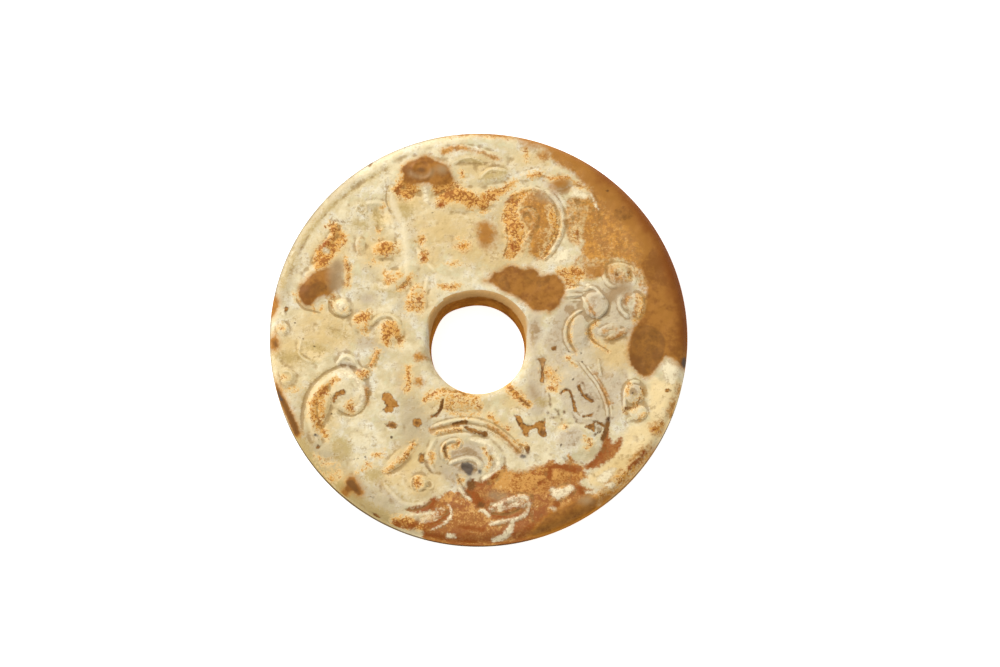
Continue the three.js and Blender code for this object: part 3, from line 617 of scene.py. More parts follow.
rustGrains = {  # grainy orange to russet stain, denser where the limit is higher
    "areas": {
        "hatLeft": (0.9, [(-16.6, 28.6), (-16, 29.8), (-15.2, 30.6), (-14.8, 32.4), (-13.6, 33.8), (-12.6, 33),
            (-13.4, 31), (-12, 29.4), (-11.4, 28.6), (-11.6, 27.6), (-12.5, 26.8), (-14, 26.2), (-15, 26.5),
            (-15.8, 27.5)]),
        "hatRight": (0.9, [(-8.9, 29.6), (-5, 30.4), (-4.2, 29.5), (-3, 28.7), (-1.2, 28), (0, 27.2), (1.5, 28.2),
            (3.2, 28.8), (4.5, 28.8), (5.6, 30.2), (6.8, 30.4), (7.5, 30.2), (7.3, 29.4), (6, 28.8), (5.5, 28),
            (4.3, 27), (3, 26.2), (1.9, 26), (1.8, 24.8), (1.2, 23.7), (0.4, 23.6), (-0.1, 24.9), (-0.8, 25.2),
            (-0.5, 24.5), (-1.2, 23.9), (-1.8, 24.6), (-2.6, 25), (-3, 25.6), (-4.3, 26), (-5.5, 25.8),
            (-6.3, 25.3), (-7.6, 24.9), (-8, 25.8), (-7.8, 27), (-8.7, 27.8)]),
        "leaf": (0.9, [(8, 31.1), (9.8, 31.9), (11.8, 32.3), (12.4, 32), (12.1, 31), (10.5, 30.7)]),
        "scrollLeft": (0.55, [(4.5, 15), (5.2, 17), (5.3, 19), (5, 21.5), (4.4, 22.3), (4.6, 24), (5, 25.5),
            (6, 27.2), (7.5, 28.2), (9.3, 28.7), (10.8, 28.6), (9.5, 27.4), (8, 26.2), (7, 24), (8.4, 22),
            (9.2, 20), (8.6, 17.6), (7.6, 15.6), (6, 14.4)]),
        "scrollRight": (0.35, [(12, 14.6), (13.4, 18), (13.8, 22), (13, 25.4), (14.8, 24.6), (15.6, 21), (15, 18.2),
            (13.6, 16)]),
        "leftCrest": (0.7, [(-29.3, 21.5), (-28.3, 22.2), (-26.3, 21.3), (-26.2, 20.5), (-25.3, 19.8),
            (-25.4, 18.3), (-26.3, 17.6), (-27, 16.4), (-27.6, 15.4), (-28.2, 14.3), (-29, 13.3), (-30, 12.4),
            (-31.5, 12.6), (-32, 14.5), (-31.5, 16), (-30.5, 17), (-29.5, 18.3), (-28.6, 19.6), (-28.3, 20.5),
            (-29, 21)]),
        "commaBody": (0.5, [(-32.2, -13), (-31.4, -11.6), (-30.2, -10.4), (-28.6, -9), (-27.2, -8), (-26.4, -8.6),
            (-27.4, -9.6), (-28.6, -10.8), (-29.2, -12), (-29.2, -14.5), (-29.2, -15.8), (-29.8, -16.5),
            (-29.4, -18), (-28.3, -19.8), (-29, -20.4), (-30.2, -19.2), (-31.2, -18.2), (-31.9, -16.5),
            (-32.2, -15)]),
        "bud": (0.9, [(-24.1, 2.4), (-23.6, 4), (-22.2, 4.6), (-20.7, 4.6), (-20.6, 3), (-21.2, 1.6), (-21, 0.4),
            (-22.4, 0.4), (-22.6, 1.2), (-21.8, 2), (-22.2, 2.8), (-23.2, 2)]),
        "budRight": (0.6, [(-19, 2.2), (-17.6, 2.9), (-16.2, 2.5), (-15, 1.6), (-14.6, 0.2), (-14.2, -1.4),
            (-15.4, -1.8), (-15.8, -0.4), (-16.6, -0.6), (-16.9, -1.9), (-18, -2), (-18.6, -0.8), (-18.2, 0.6)]),
        "midCluster": (0.2, [(-18.4, 12.6), (-16.4, 12.4), (-14.6, 12.4), (-14.8, 11), (-16, 10), (-17.6, 9.8),
            (-18, 11)]),
        "boreCluster": (0.1, [(-14, 4.6), (-13.8, 7.4), (-12.8, 8.4), (-12.2, 10.2), (-11, 10), (-10.4, 7.6),
            (-10.6, 5), (-12, 4.6)]),
        "triangleBud": (0.9, [(-23.5, -6.9), (-22.2, -7.3), (-20.9, -6.5), (-21, -7.8), (-22.3, -8.9), (-23, -8)]),
        "boreFoot": (0.05, [(-8.6, -12), (-5, -11.4), (0.4, -12.4), (0.6, -14.6), (-0.5, -15.8), (-3.4, -16.2),
            (-5.8, -15), (-7, -13.4)]),
        "rimRight": (0.2, [(32.4, -21.6), (31.2, -23.4), (30, -24.2), (28.4, -25.3), (28, -26.3), (26.5, -27),
            (25, -27.6), (26, -28.2), (26.3, -29.5), (24, -30.2), (22.6, -30.4), (23, -32.4), (24.5, -32),
            (26.5, -30.5), (28.5, -28.7), (30, -27.2), (31.4, -25.2), (32.8, -23)]),
        "footLeft": (0.9, [(-16.8, -35), (-13.6, -34.9), (-10, -34.6), (-7, -34.4), (-5.6, -34), (-6.4, -36),
            (-9, -37.4), (-11.4, -37.8), (-13, -37.4), (-16, -36.9)]),
        "rightSpot": (0.8, [(32, -18.6), (33.2, -17.4), (34.5, -17.2), (35.6, -16.2), (35.2, -17.8), (34.6, -19.2),
            (33.5, -18.8)]),
        "lowRim": (-0.2, [(-31.4, -22.6), (-29.5, -24.2), (-27, -24.8), (-25.8, -26), (-26.6, -28.2),
            (-28.4, -28.2), (-30.2, -26.2)]),
        "lobeFringe": (0.35, [(16.2, 11.6), (17, 9.2), (18.6, 9.6), (20.4, 11.6), (20, 13), (17.4, 13.4),
            (14, 12.6)]),
    },
    "lines": [
        (1.1, [(-25.6, 14.6), (-25, 13.2), (-24.8, 12), (-25.2, 10.5), (-25.2, 9.6)]),
        (0.7, [(-34.9, 7.7), (-34.4, 6.5), (-33.9, 8.3)]), (0.6, [(-22.9, 1.4), (-22.2, 0.9), (-21.3, 0.5)]),
        (1.1, [(-19.2, -3.2), (-19.7, -4.6), (-20.5, -6)]), (0.8, [(-13.1, 11.6), (-13.8, 10.2), (-15.2, 9)]),
        (0.9, [(-13.5, -6.2), (-13.4, -8.4), (-13.5, -10.4)]),
        (0.9, [(-10.4, -12.6), (-8.5, -11.2), (-6.5, -10.7), (-4.5, -10.8), (-2.5, -11.3), (-0.3, -12.2)]),
        (1.3, [(5.6, -9.8), (6.5, -11), (7.8, -12.2), (9.4, -13.4)]),
        (0.7, [(20.4, -20.2), (21.4, -20.8), (20.8, -21.8)]),
        (1, [(-17.3, -26.2), (-16, -25.2), (-14.5, -24.3), (-13.4, -22.8), (-12.4, -21.2)]),
        (0.8, [(2.2, -15.8), (3.6, -17)]), (0.45, [(4.6, -17.5), (5.4, -18.1)]),
        (0.6, [(-7.7, -19), (-5, -18.5), (-3.2, -18.2)]),
        (0.5, [(-5.7, -21.6), (-4.2, -21.7), (-3.5, -20.8), (-3.8, -20.2)]),
        (0.7, [(1.3, -22.3), (1.7, -23.3), (2.4, -24), (2, -25), (1.6, -25.8)]),
        (0.5, [(-6.3, -21.5), (-6.6, -22.8), (-5.8, -23.8)]), (0.8, [(-7.6, 9.7), (-6, 9.1), (-3.8, 9.6)]),
        (1.1, [(-11.2, 8), (-11.3, 5.3)]),
        (0.5, [(22.4, 2.5), (21.3, 1.8), (21.2, 0.2), (21.7, -1), (22.6, -1.6), (23.8, -2.3), (24.8, -3)]),
        (0.25, [(18.2, 3.8), (17.3, 2), (17.2, 0.5), (17.5, -1.5), (18.3, -3.2)]),
        (0.6, [(31.1, 7.6), (31.4, 5.5), (30.9, 3.6), (30, 2.9)]), (0.5, [(29.1, 12.5), (29, 11.1)]),
        (0.6, [(28.6, -9.6), (28.3, -10.6), (28.4, -12.2)]), (0.5, [(30.6, -12.6), (31.6, -11.6), (31.4, -10.4)]),
        (0.5, [(30.6, -16.2), (31.9, -15.2)]), (0.5, [(17, -4.6), (18.3, -6)]), (0.5, [(-3.8, 18.9), (-2.6, 18.2)]),
        (0.5, [(-28.3, 6.4), (-27.8, 5.1)]), (0.6, [(-28.6, 8.3), (-27.6, 7.4)]),
        (0.35, [(-31.8, 5.9), (-31.3, 4.4)]), (0.6, [(7, -20.5), (8, -21), (9.2, -21.4)]),
        (0.7, [(-8.4, 39.3), (-1, 39.9), (6, 39.2)]), (0.8, [(14, 30.6), (17.4, 30.9)]),
        (0.5, [(18.2, 29.9), (19.2, 29.4), (20.6, 28.8), (21.6, 29.3)]),
    ],
    "spots": [
        (-18, 16.8, 2.3, 1.3, 8), (-12.2, 9, 0.7, 0.4), (-10.4, 15.3, 0.8, 1.1), (-11, 18.6, 0.7, 1.1, -15),
        (-3, 17.4, 1.1, 0.8), (-5, 13.9, 0.8, 0.4), (-18.2, 25.2, 0.6, 0.35, 20), (-3.2, 31.6, 0.5, 0.8, 20),
        (-24.4, -14, 0.9, 1.2), (-20.7, -25, 0.5, 0.4), (-22, -25.9, 0.6, 0.35, 20), (-19, -23, 0.7, 0.45, 20),
        (-11.6, -28.5, 0.9, 1.2), (-8.9, -23.7, 0.5, 0.8, -15), (-3.3, -28, 0.6, 0.7), (14.9, -8.6, 0.7, 0.9),
        (13.1, -7, 0.8, 0.5), (9.1, 35.3, 0.3, 0.6), (18.8, 20, 0.5, 0.9, -15), (28.7, -14.4, 0.8, 0.5),
        (30, -13.4, 0.9, 0.5), (-13.3, 6.2, 0.6, 1.2), (-15.2, -0.8, 0.4, 0.8), (-30, 5.1, 0.35, 0.5),
        (-25.6, 4.9, 0.4, 0.4), (-35.6, -10.4, 0.8, 0.4), (-37.1, -8, 0.45, 0.45), (-28, -27.6, 0.9, 0.5),
        (-19.2, 20.4, 0.3, 0.3), (-18.9, 18.7, 0.3, 0.3), (-19.9, 14.3, 0.6, 0.3), (-37.6, 1.3, 0.5, 0.6),
        (14.2, -10.4, 1.2, 0.7), (16.3, -17.6, 0.5, 0.4),
    ],
}
amberBand = {  # smooth amber along the foot of the disc
    "areas": {
        "band": [(-9.6, -33), (-9, -31.6), (-7.5, -31.8), (-6.3, -30.4), (-5, -30), (-3.6, -30.2), (-2.6, -30.4),
            (-2.4, -29), (-1.6, -28), (-0.2, -28.2), (1.3, -28.3), (2.3, -27.2), (3.2, -26.6), (4.3, -26.2),
            (4.6, -25), (5.2, -25.2), (5.5, -26), (7, -26.4), (8.5, -26.5), (10, -26.3), (11, -25.8), (12.5, -25.6),
            (13.3, -24.4), (14, -24), (15, -24.9), (16.2, -25), (17.2, -24.2), (16.4, -22.6), (17.4, -23),
            (18, -24.3), (19.6, -25.2), (20.8, -25.1), (22, -24.4), (23, -22.8), (23.7, -21), (23.4, -19.8),
            (24.2, -18.8), (24.7, -17.5), (24.9, -19.2), (25, -20.6), (25.7, -21.3), (26.4, -20.2), (27.2, -19.6),
            (27.4, -20.6), (27, -22.2), (25.8, -23.5), (24.2, -24.6), (23, -25.6), (21.5, -25.9), (20.2, -26),
            (19.6, -26.4), (20.5, -27.2), (21.2, -27.8), (19.5, -27.9), (18.4, -28.2), (20, -29.2), (22.6, -30.2),
            (22.8, -31.5), (22.6, -33.8), (18, -38), (8, -41.5), (-4, -42), (-11, -41), (-10.6, -38), (-9.8, -36.2),
            (-8.6, -34.8)],
    },
}
rimBrown = {  # brown of the rim, which thins out gradually towards the face
    "deepest": 6.0,
    "margin": 5.0,
    "areas": {
        "crescent": [(-6, 40.4), (2, 39.7), (6, 39), (10, 37.7), (13, 36.2), (16, 34.3), (18.6, 32.2), (21, 29.8),
            (23, 27.4), (25.6, 25.6), (26, 23), (28, 21.4), (30, 19), (31, 17), (31.8, 14.6), (32.6, 12.6),
            (34.2, 8), (35.6, 2), (36.4, -3), (38, -5), (39.4, -6), (47, -7), (47, 10), (40, 28), (28, 40),
            (10, 47), (-6, 47)],
        "foot": [(8, -40.4), (10.5, -38.6), (13, -36.4), (16, -34.6), (19, -33), (21.6, -32), (23.4, -31.8),
            (26, -30.4), (29, -27.9), (32, -24.4), (34, -21), (40, -22), (34, -36), (20, -46), (6, -46)],
    },
    "spots": [(1.4, 19.8, 1.3, 1.8), (22.6, 12.3, 0.8, 0.6), (15.6, 29.7, 1.6, 1.2)],
}
deepRed = {  # darkest red-brown places
    "areas": {
        "crescent": [(-13.4, -33.4), (-12, -33.1), (-10.6, -33), (-9.4, -32.2), (-8.7, -31.2), (-7.2, -31.6),
            (-8.2, -32.4), (-9, -33.6), (-10.4, -34.3), (-12.2, -34.5)],
        "underSlate": (0.5, [(-2.8, -29.6), (-1.2, -29.8), (0, -30.6), (1.2, -32), (1.4, -33), (-0.4, -33),
            (-1.4, -32), (-2.2, -31)]),
        "orange": (-0.16, [(-0.6, -28.2), (1.6, -28), (3.6, -26.6), (2.6, -28.8), (2, -30.4), (2.4, -31.6),
            (3.6, -32.4), (1, -33), (-1, -31)]),
        "tips": (-0.02, [(22.4, -24), (23.4, -21.4), (23.4, -19.8), (24.6, -18), (24.9, -20.4), (26, -21.4),
            (27.2, -19.6), (27.2, -21.8), (25.6, -23.4)]),
        "low": (-0.02, [(10, -36.4), (13, -34.6), (17, -33), (20, -32), (22, -32.4), (18, -36), (12, -39),
            (6, -40.6), (-2, -41), (-8, -40), (-4, -38.4), (2, -38.6), (7, -38.4)]),
        "right": (-0.12, [(12.4, -27.6), (14, -28.2), (17, -27.4), (20, -27.6), (18, -28.6), (14, -29), (12, -31),
            (10.4, -33), (10, -30), (11, -28.4)]),
    },
    "lines": [
        (0.9, [(-5.6, -34.2), (-6.2, -35.2), (-7.2, -36.2), (-8.4, -36.8), (-9.6, -37)]),
        (0.8, [(-16, -36.2), (-14.8, -36.7), (-13.2, -37), (-12, -36.6)]), (0.6, [(-10.2, -37.2), (-10.1, -38.4)]),
        (0.7, [(-10, -39), (-8.4, -39.2), (-7, -39.4)]),
        (0.8, [(-13.2, -33.7), (-11.5, -33.9), (-10, -33.4), (-9.2, -32.4), (-8.5, -31.8)]),
        (0.9, [(-10, -36), (-9, -36.4), (-7, -35.8), (-5.7, -34.5)]),
        (0.9, [(-16, -36.2), (-14.6, -36.6), (-12.6, -37), (-11.6, -36)]),
        (0.8, [(-3.2, -37), (-1, -37.3), (1, -37.6)]), (0.9, [(-9.8, -38.2), (-8, -38.6), (-6.8, -38.8)]),
        (0.8, [(-2.6, -39.6), (-0.6, -39.7)]), (1.1, [(13.4, -27.4), (13.8, -25.4), (15.4, -25.4), (18.2, -26)]),
        (0.8, [(20.6, -25.4), (22, -24.7), (22.9, -23.2), (24.4, -21.4)]),
        (0.8, [(2.9, -34.6), (4, -35.1), (5.4, -34.6)]), (0.8, [(12.6, -28.4), (11.4, -28.8)]),
        (0.7, [(28.6, -25.6), (30.4, -24.3), (31.8, -22.4)]), (0.8, [(19.2, -29.4), (19.6, -30.4)]),
    ],
    "spots": [
        (0.4, -32.7, 0.7, 0.55), (-29.5, 17.8, 0.9, 0.5, 35), (-1.6, -30.6, 0.7, 1, 30), (14.8, -32.6, 0.7, 0.8),
        (-10.4, 15, 0.35, 0.5), (6, 26.4, 0.7, 0.35, 50), (6.6, 17.2, 0.5, 0.8, 20), (18.9, 20, 0.3, 0.5),
        (-7.3, 25.6, 0.7, 0.5), (-15.4, 28.2, 0.5, 0.5), (33.2, -18.2, 0.35, 0.5), (-29.5, -11.2, 0.4, 0.3),
        (-22.9, -7, 0.35, 0.3), (2.8, -27.2, 0.5, 0.7, -35), (0.6, -28.8, 0.6, 0.4),
    ],
}
ashGrey = {  # lilac to ash grey of the altered stone, and some painted shadow lines beside ridges and grooves
    "deepest": 0.4,
    "areas": {
        "forehead": (1.6, [(24, 7.9), (24.6, 9.2), (26, 9.9), (28, 10), (29.8, 9.7), (28.6, 8.2), (27.2, 7.6),
            (26.4, 6.8), (25.4, 5.8), (24.6, 6.6)]),
        "nose": [(20.9, 7), (21.3, 8.1), (22.5, 8.3), (23.6, 7.6), (24.1, 6.5), (23.7, 4.6), (22.6, 3.9),
            (21.7, 4.8)],
        "neck": [(19, -6.5), (21, -8.6), (23, -11.5), (23.8, -14), (24, -16.5), (21.6, -16.6), (19, -13.4),
            (18, -9.4)],
        "flank": [(23.6, -6.6), (25.6, -7), (27.6, -8.2), (27.4, -10.4), (26.6, -13.2), (25.4, -14.4),
            (24.6, -11.6), (23.6, -9)],
        "cheek": [(24.6, 3.6), (26.4, 2.4), (27.4, 3.2), (27, 5), (26, 5.6), (25.2, 5)],
        "chest": [(11.8, -1.6), (14, 1), (15.4, 3.4), (16.2, 1), (16, -3), (18, -6), (16, -7), (13.4, -4)],
        "lowerScroll": (0.9, [(-5.8, -22.2), (-3.4, -21.6), (-1, -21.2), (0.9, -22.8), (0.6, -24.4), (-1.6, -23.3),
            (-4, -23.7), (-5.4, -24.2)]),
        "slateHalo": (1.1, [(-5.2, -24.8), (-3.4, -24.4), (-1, -24.5), (0.4, -25.6), (0.2, -27), (-1.6, -27.6),
            (-3.6, -27), (-5, -26)]),
        "scrollGrey": [(10.6, 27.4), (12.2, 28), (13.6, 26.6), (13.8, 25), (12.4, 25.6), (11, 26.4)],
        "bottomOval": [(2, -30.4), (3.2, -30), (5, -30.4), (5.6, -31), (4.6, -31.8), (3, -31.9), (2.1, -31.4)],
        "headField": (0.1, [(15, 4), (18, 9), (22, 10.5), (28, 10), (30, 4), (28, -6), (28, -14), (25, -18),
            (18, -17), (15, -10), (13, -3)]),
        "wedgeField": (0.3, [(9, -8), (11.4, -5), (13, -10), (13, -15), (10, -15.4), (8.4, -13), (10.4, -11)]),
        "haunch": [(15.4, -19), (18.4, -17.6), (20, -19), (19.4, -21), (16.6, -22), (15, -21)],
    },
    "lines": [
        # the first line is a painted groove shadow
        (1.4, [(-18.4, -28.6), (-16.4, -31), (-14.2, -32.2)]), (1.2, [(-20.6, 7.3), (-21.6, 6.9)]),
        # both lines are painted shade beside the relief, the second under the hook's arch
        (1.4, [(-22.4, -1.8), (-20.4, -1.4)]), (1, [(-25.6, -5.8), (-24.2, -5.9), (-23.3, -6.8)]),
        # the first line is a painted shadow left of the ridge by the hat
        (1, [(-17.2, 27), (-16.5, 25), (-15.5, 22.8)]), (0.8, [(-15, -8), (-14.8, -10.6)]),
        (1.2, [(-6.4, -26.4), (-4.6, -28.4), (-3.2, -29.6)]), (0.9, [(-9.9, -24.4), (-9.6, -25.6), (-8.6, -26.3)]),
        # the first line is a painted shadow beside the ridges
        (0.7, [(14, 28), (15.2, 26), (16.2, 24)]), (1.2, [(24.2, 24.8), (25.4, 23), (25, 21.4)]),
    ],
    "spots": [
        (29.3, -11, 1.6, 1.4), (10.2, -11, 0.7, 1.2), (8.4, -23.2, 1, 0.8), (4.6, 19.6, 0.9, 2),
        (-4.8, 18.6, 0.8, 0.9), (-30.7, -19.3, 1, 0.8), (-1.8, -28.9, 0.9, 1.1), (11, 1, 1.2, 3),
        (15.8, 29.6, 1.3, 0.9), (-27.4, 12.2, 1, 2.2, -10), (17.4, 4.8, 1.6, 1.6), (10.4, 0, 1, 4),
    ],
}
inkDark = {  # small dark spots
    "lines": [
        (0.3, [(-20.4, -31.2), (-19.8, -31.4)]), (0.35, [(-38.6, -10.6), (-37.7, -12), (-37.2, -13)]),
        (0.3, [(22, -19.8), (22.4, -19), (23.5, -18.6)]),
    ],
    "spots": [
        (24.8, -16.3, 0.3, 0.4), (15.7, -21.3, 0.25, 0.55), (-18.4, 14.7, 0.25, 0.25), (-20.7, 13.4, 0.22, 0.22),
        (-8.9, 23.9, 0.28, 0.25), (-24.6, -19.6, 0.25, 0.3), (-23.6, -23.9, 0.2, 0.2), (-22.9, -23.9, 0.2, 0.2),
        (-21.5, -23.5, 0.22, 0.25), (19.5, -3.5, 0.25, 0.35), (19.8, -5.2, 0.3, 0.3), (17.3, -3.2, 0.3, 0.22),
        (14.8, -6.9, 0.3, 0.3), (18, -8.7, 0.3, 0.22), (29.3, -11.3, 0.35, 0.4), (-35.1, 2.4, 0.28, 0.28),
        (-31.3, -2.2, 0.25, 0.2), (-16.5, -19.8, 0.35, 0.4), (-7, -25.4, 0.22, 0.2), (24.7, 28.2, 0.3, 0.25),
        (-31, -19.3, 0.3, 0.3), (-30.3, -20.3, 0.25, 0.2), (26.4, 2.6, 0.2, 0.2), (-33.6, -0.8, 0.18, 0.35),
        (30.9, -10.5, 0.2, 0.3), (-28, -15.3, 0.22, 0.2), (-9.6, -29.2, 0.25, 0.2),
    ],
}
slateMarks = {  # slate-coloured places
    "areas": {
        "slate": [(-3.4, -24.9), (-2.2, -24.6), (-1.1, -24.9), (-0.9, -25.9), (-1.2, -27), (-1.9, -27.2),
            (-2.4, -26.6), (-3.2, -26)],
        "rimSlate": [(38.9, -4.2), (38.7, -5.6), (39, -6.4), (41, -7), (41, -3.6)],
    },
    "lines": [
        (0.5, [(-38.4, -10.8), (-37.6, -12.4)]),
    ],
    "spots": [(0.2, -26.4, 0.45, 0.5), (8.6, -23.4, 0.6, 0.4), (-30.8, -19.4, 0.4, 0.3)],
}
chalkPale = {  # bright chalky crust, which also shows through the russet
    "areas": {
        "footGround": (-0.02, [(-12.4, -34.8), (-9, -34.8), (-7.4, -33), (-6.4, -33.4), (-6.8, -34.8), (-8, -35.8),
            (-10, -36.2), (-11.8, -35.8)]),
        "rightField": (1.6, [(35.6, -4.6), (37.2, -5.1), (38.3, -6.1), (38.5, -7.2), (37.8, -9), (36.6, -9.6),
            (35.4, -8.8), (35, -7), (35.2, -5.6)]),
        "comma": (0.12, [(1.8, -33), (3, -32.2), (4.5, -31.8), (6, -31.4), (7.4, -30.8), (8.6, -30.7), (9.7, -31.4),
            (9.9, -32.8), (9.3, -33.6), (8.4, -33.4), (7, -33.2), (5.5, -33.6), (4.5, -34.1), (3, -34.1),
            (2, -33.8)]),
        "islandRight": (0.5, [(13.4, -30), (13.8, -29.2), (15.5, -29.6), (16.8, -29.1), (18, -28.8), (18.4, -29.8),
            (17.4, -30.5), (16.3, -31.4), (15.2, -32), (14, -31.4)]),
        "cloudPatch": [(17.4, 27.4), (18.3, 28.3), (20, 28.2), (21, 27.2), (20.6, 26.6), (19.2, 27), (17.8, 26.9)],
        "scrollFoot": [(13.6, 14.2), (15.4, 16.4), (17, 17.2), (17.4, 15.4), (16, 14)],
    },
    "lines": [
        (0.8, [(0.5, -33.8), (1.2, -34.1), (1.9, -34.7)]),
        (0.8, [(9.7, -32.4), (9.5, -33.8), (8.6, -35), (6.8, -35.6), (4.6, -35.9), (2.4, -36.5)]),
        (1.3, [(6.4, -35.9), (6.1, -37.4), (5.2, -38.8), (3.2, -39.3)]),
        (0.55, [(-5.6, -32.7), (-4.9, -34.4), (-6, -36.2), (-8.6, -37.5)]),
        (0.5, [(-13.6, -34.6), (-11, -34.7), (-8.2, -34.2)]),
        (0.45, [(-15.4, -37.5), (-13, -37.8), (-11.4, -38.2)]), (0.7, [(20.6, -30.3), (22, -30.3)]),
        (0.7, [(14, -33.4), (14.6, -33.9)]), (1.3, [(-10.3, 29), (-10, 26.6)]),
        (0.7, [(-3.6, -29.4), (-2.6, -30.8), (-1.5, -31.8)]), (0.5, [(21.7, 27.5), (22.4, 25.8), (22.9, 24.7)]),
        (0.9, [(-26, -7.2), (-23.6, -8.2), (-22, -10.8), (-22, -13), (-23.2, -14.3)]),
        (0.9, [(14.2, 16.6), (15.5, 18.6)]), (0.5, [(-5.2, -24.7), (-2, -23.9), (0, -24.8)]),
        (0.6, [(-1.2, -20.2), (1.6, -21), (3.4, -22.8), (3.8, -24.6), (2.6, -26.8), (1, -27.8)]),
        (0.8, [(20.1, 8.2), (21.4, 9.4), (20.6, 10)]), (0.8, [(-29.5, 16.6), (-29, 16.3)]),
        (0.8, [(-5.8, -38.6), (-4.6, -38.8)]),
    ],
    "spots": [(-26.4, 5.6, 1, 1), (25, -29, 0.9, 0.7), (24.2, -27.2, 2.2, 0.9, 35)],
}
umberMarks = {  # dark olive brown, and painted shadow lines under two arches
    "areas": {
        "rightPatch": (0.06, [(30.2, 1.6), (32.6, 2), (34.6, 1), (35.8, -1.4), (35.2, -4), (34, -6.4), (32, -8),
            (30.4, -7.2), (29, -5.4), (28.8, -2.6), (29.4, -0.4)]),
        "lobeTop": (-0.06, [(8.6, 13.4), (11.6, 12.4), (11, 11), (9.8, 9.6), (8.6, 10.8)]),
        "lobeRight": (-0.06, [(11, 10.6), (13.8, 11.8), (13.4, 10.2), (11.4, 9.2)]),
        "lobeLeft": (-0.04, [(4.8, 12), (5.6, 10.4), (6.4, 8.4), (5, 8.8), (3.4, 10.2)]),
        "lowerLeft": (0.4, [(-24.8, -28.2), (-23.8, -27.8), (-23.1, -28.6), (-22.9, -29.6), (-22.1, -30.4),
            (-22.4, -31), (-23.2, -30.4), (-24.2, -29.6), (-25, -29)]),
        "upperRight": (-0.04, [(26, 22.8), (26.2, 24.6), (27.6, 25.4), (29.6, 24.6), (29.6, 23), (28, 22.4)]),
        "mound": (0.06, [(-33.6, 7.4), (-32.8, 9), (-31, 10.4), (-29.4, 10), (-28.8, 8.8), (-30.2, 8.2),
            (-31.4, 7.4), (-32.4, 7)]),
    },
    "lines": [
        (0.5, [(16.6, -10.6), (17.1, -10.7), (17.6, -11.2), (17.9, -12.2), (18.1, -13)]),
        (0.45, [(19.2, -10.1), (19.4, -10.7)]), (0.55, [(20.5, -11.6), (21.1, -12.2), (21.6, -12.7)]),
        (0.35, [(20.1, -15.9), (20.8, -15.8), (21.6, -15.3)]),
        (0.35, [(21.8, -16.9), (22.6, -16.7), (23.4, -17.4), (24.2, -17.7)]),
        (0.9, [(24.7, -16.2), (24.5, -17.4), (24.2, -18.8), (23.6, -20.2)]),
        (0.3, [(21.9, -19.6), (22.4, -19), (23.2, -18.8)]),
        (0.9, [(-38.9, -9.6), (-37.8, -11.8), (-36.6, -14.2), (-35.4, -16.6), (-34.6, -18.8)]),
        (0.45, [(-6.8, -12.6), (-7, -14.2), (-7.7, -15.4), (-8.7, -15.8)]),
        # the second line is a painted shadow under the arch
        (0.7, [(-4.7, -17.2), (-3.6, -16.9), (-2.4, -16.9)]), (0.45, [(-2.4, -17.9), (-1, -18.6), (0.6, -19.2)]),
        (0.4, [(-6.4, -21.4), (-6.5, -22.4), (-6, -23.7)]), (0.35, [(-9.8, -24.2), (-9.6, -25.7), (-8.7, -26.5)]),
        (0.3, [(-12.3, -27.6), (-12.6, -28.8), (-12.1, -29.9)]),
        (0.35, [(-4.1, -27), (-3, -29.2), (-2.2, -30.6), (-1.3, -31.2)]),
        (0.25, [(5.2, 21), (5.5, 19.5), (5.6, 18), (5.1, 16.4), (4.7, 15)]),
        (0.3, [(8.1, 24.4), (9.3, 25.2), (10.8, 24.8), (11.6, 23.4), (11.6, 22)]),
        (0.3, [(-28.4, 22.5), (-27.4, 22.4), (-26, 22.1)]), (0.4, [(-28.2, 6.6), (-28, 5.4), (-27.6, 4.8)]),
        # the first line is a painted shadow under the hook's arch
        (0.25, [(-26.4, -5.9), (-24.8, -5.9), (-23.6, -6.6)]), (0.45, [(12.2, -6.4), (12.1, -7.6)]),
        (0.36, [(13.4, -11.4), (13.7, -12.4), (13.6, -13.6)]), (0.5, [(7.8, -12.3), (9, -13.2), (9.6, -13.6)]),
        (0.3, [(14.6, -14.4), (15.4, -15.2), (15.2, -16)]), (0.3, [(17.8, -15.2), (18.6, -16.4)]),
        (0.3, [(28, 7.6), (27.9, 5.6), (28.8, 4)]),
    ],
    "spots": [
        (0.9, -19.2, 0.8, 0.6), (-16.5, -17.4, 0.9, 0.4, -5), (-11, 32.3, 0.9, 0.5), (-30.5, -21.6, 0.4, 0.4),
        (-38.8, -1.6, 0.4, 0.7), (-19.4, -34.9, 1, 0.35, -35), (-1.5, -28.9, 0.9, 1.2, 10), (0.5, -32.8, 0.8, 0.6),
        (21.4, -17.7, 0.7, 0.4, 20), (-11.7, -17, 0.5, 0.5), (9.4, -22.4, 0.5, 0.7), (12.2, -18.9, 0.6, 0.7),
        (14.4, -2.6, 0.4, 0.4), (28.4, -14.2, 0.7, 0.4), (13.7, -13.4, 0.3, 0.5), (24.8, -16.3, 0.3, 0.5),
        (15.2, -14.7, 0.3, 0.22), (16.3, -14.9, 0.22, 0.3), (14.5, -16, 0.4, 0.2), (16.8, -17.9, 0.25, 0.3),
        (13.2, -15.1, 0.22, 0.3), (18.6, -16.7, 0.22, 0.35), (12.7, -10.9, 0.22, 0.35), (15.8, -16.4, 0.3, 0.2),
        (22.9, -14.1, 0.22, 0.45, -15), (19.9, -9.4, 0.25, 0.3),
    ],
}
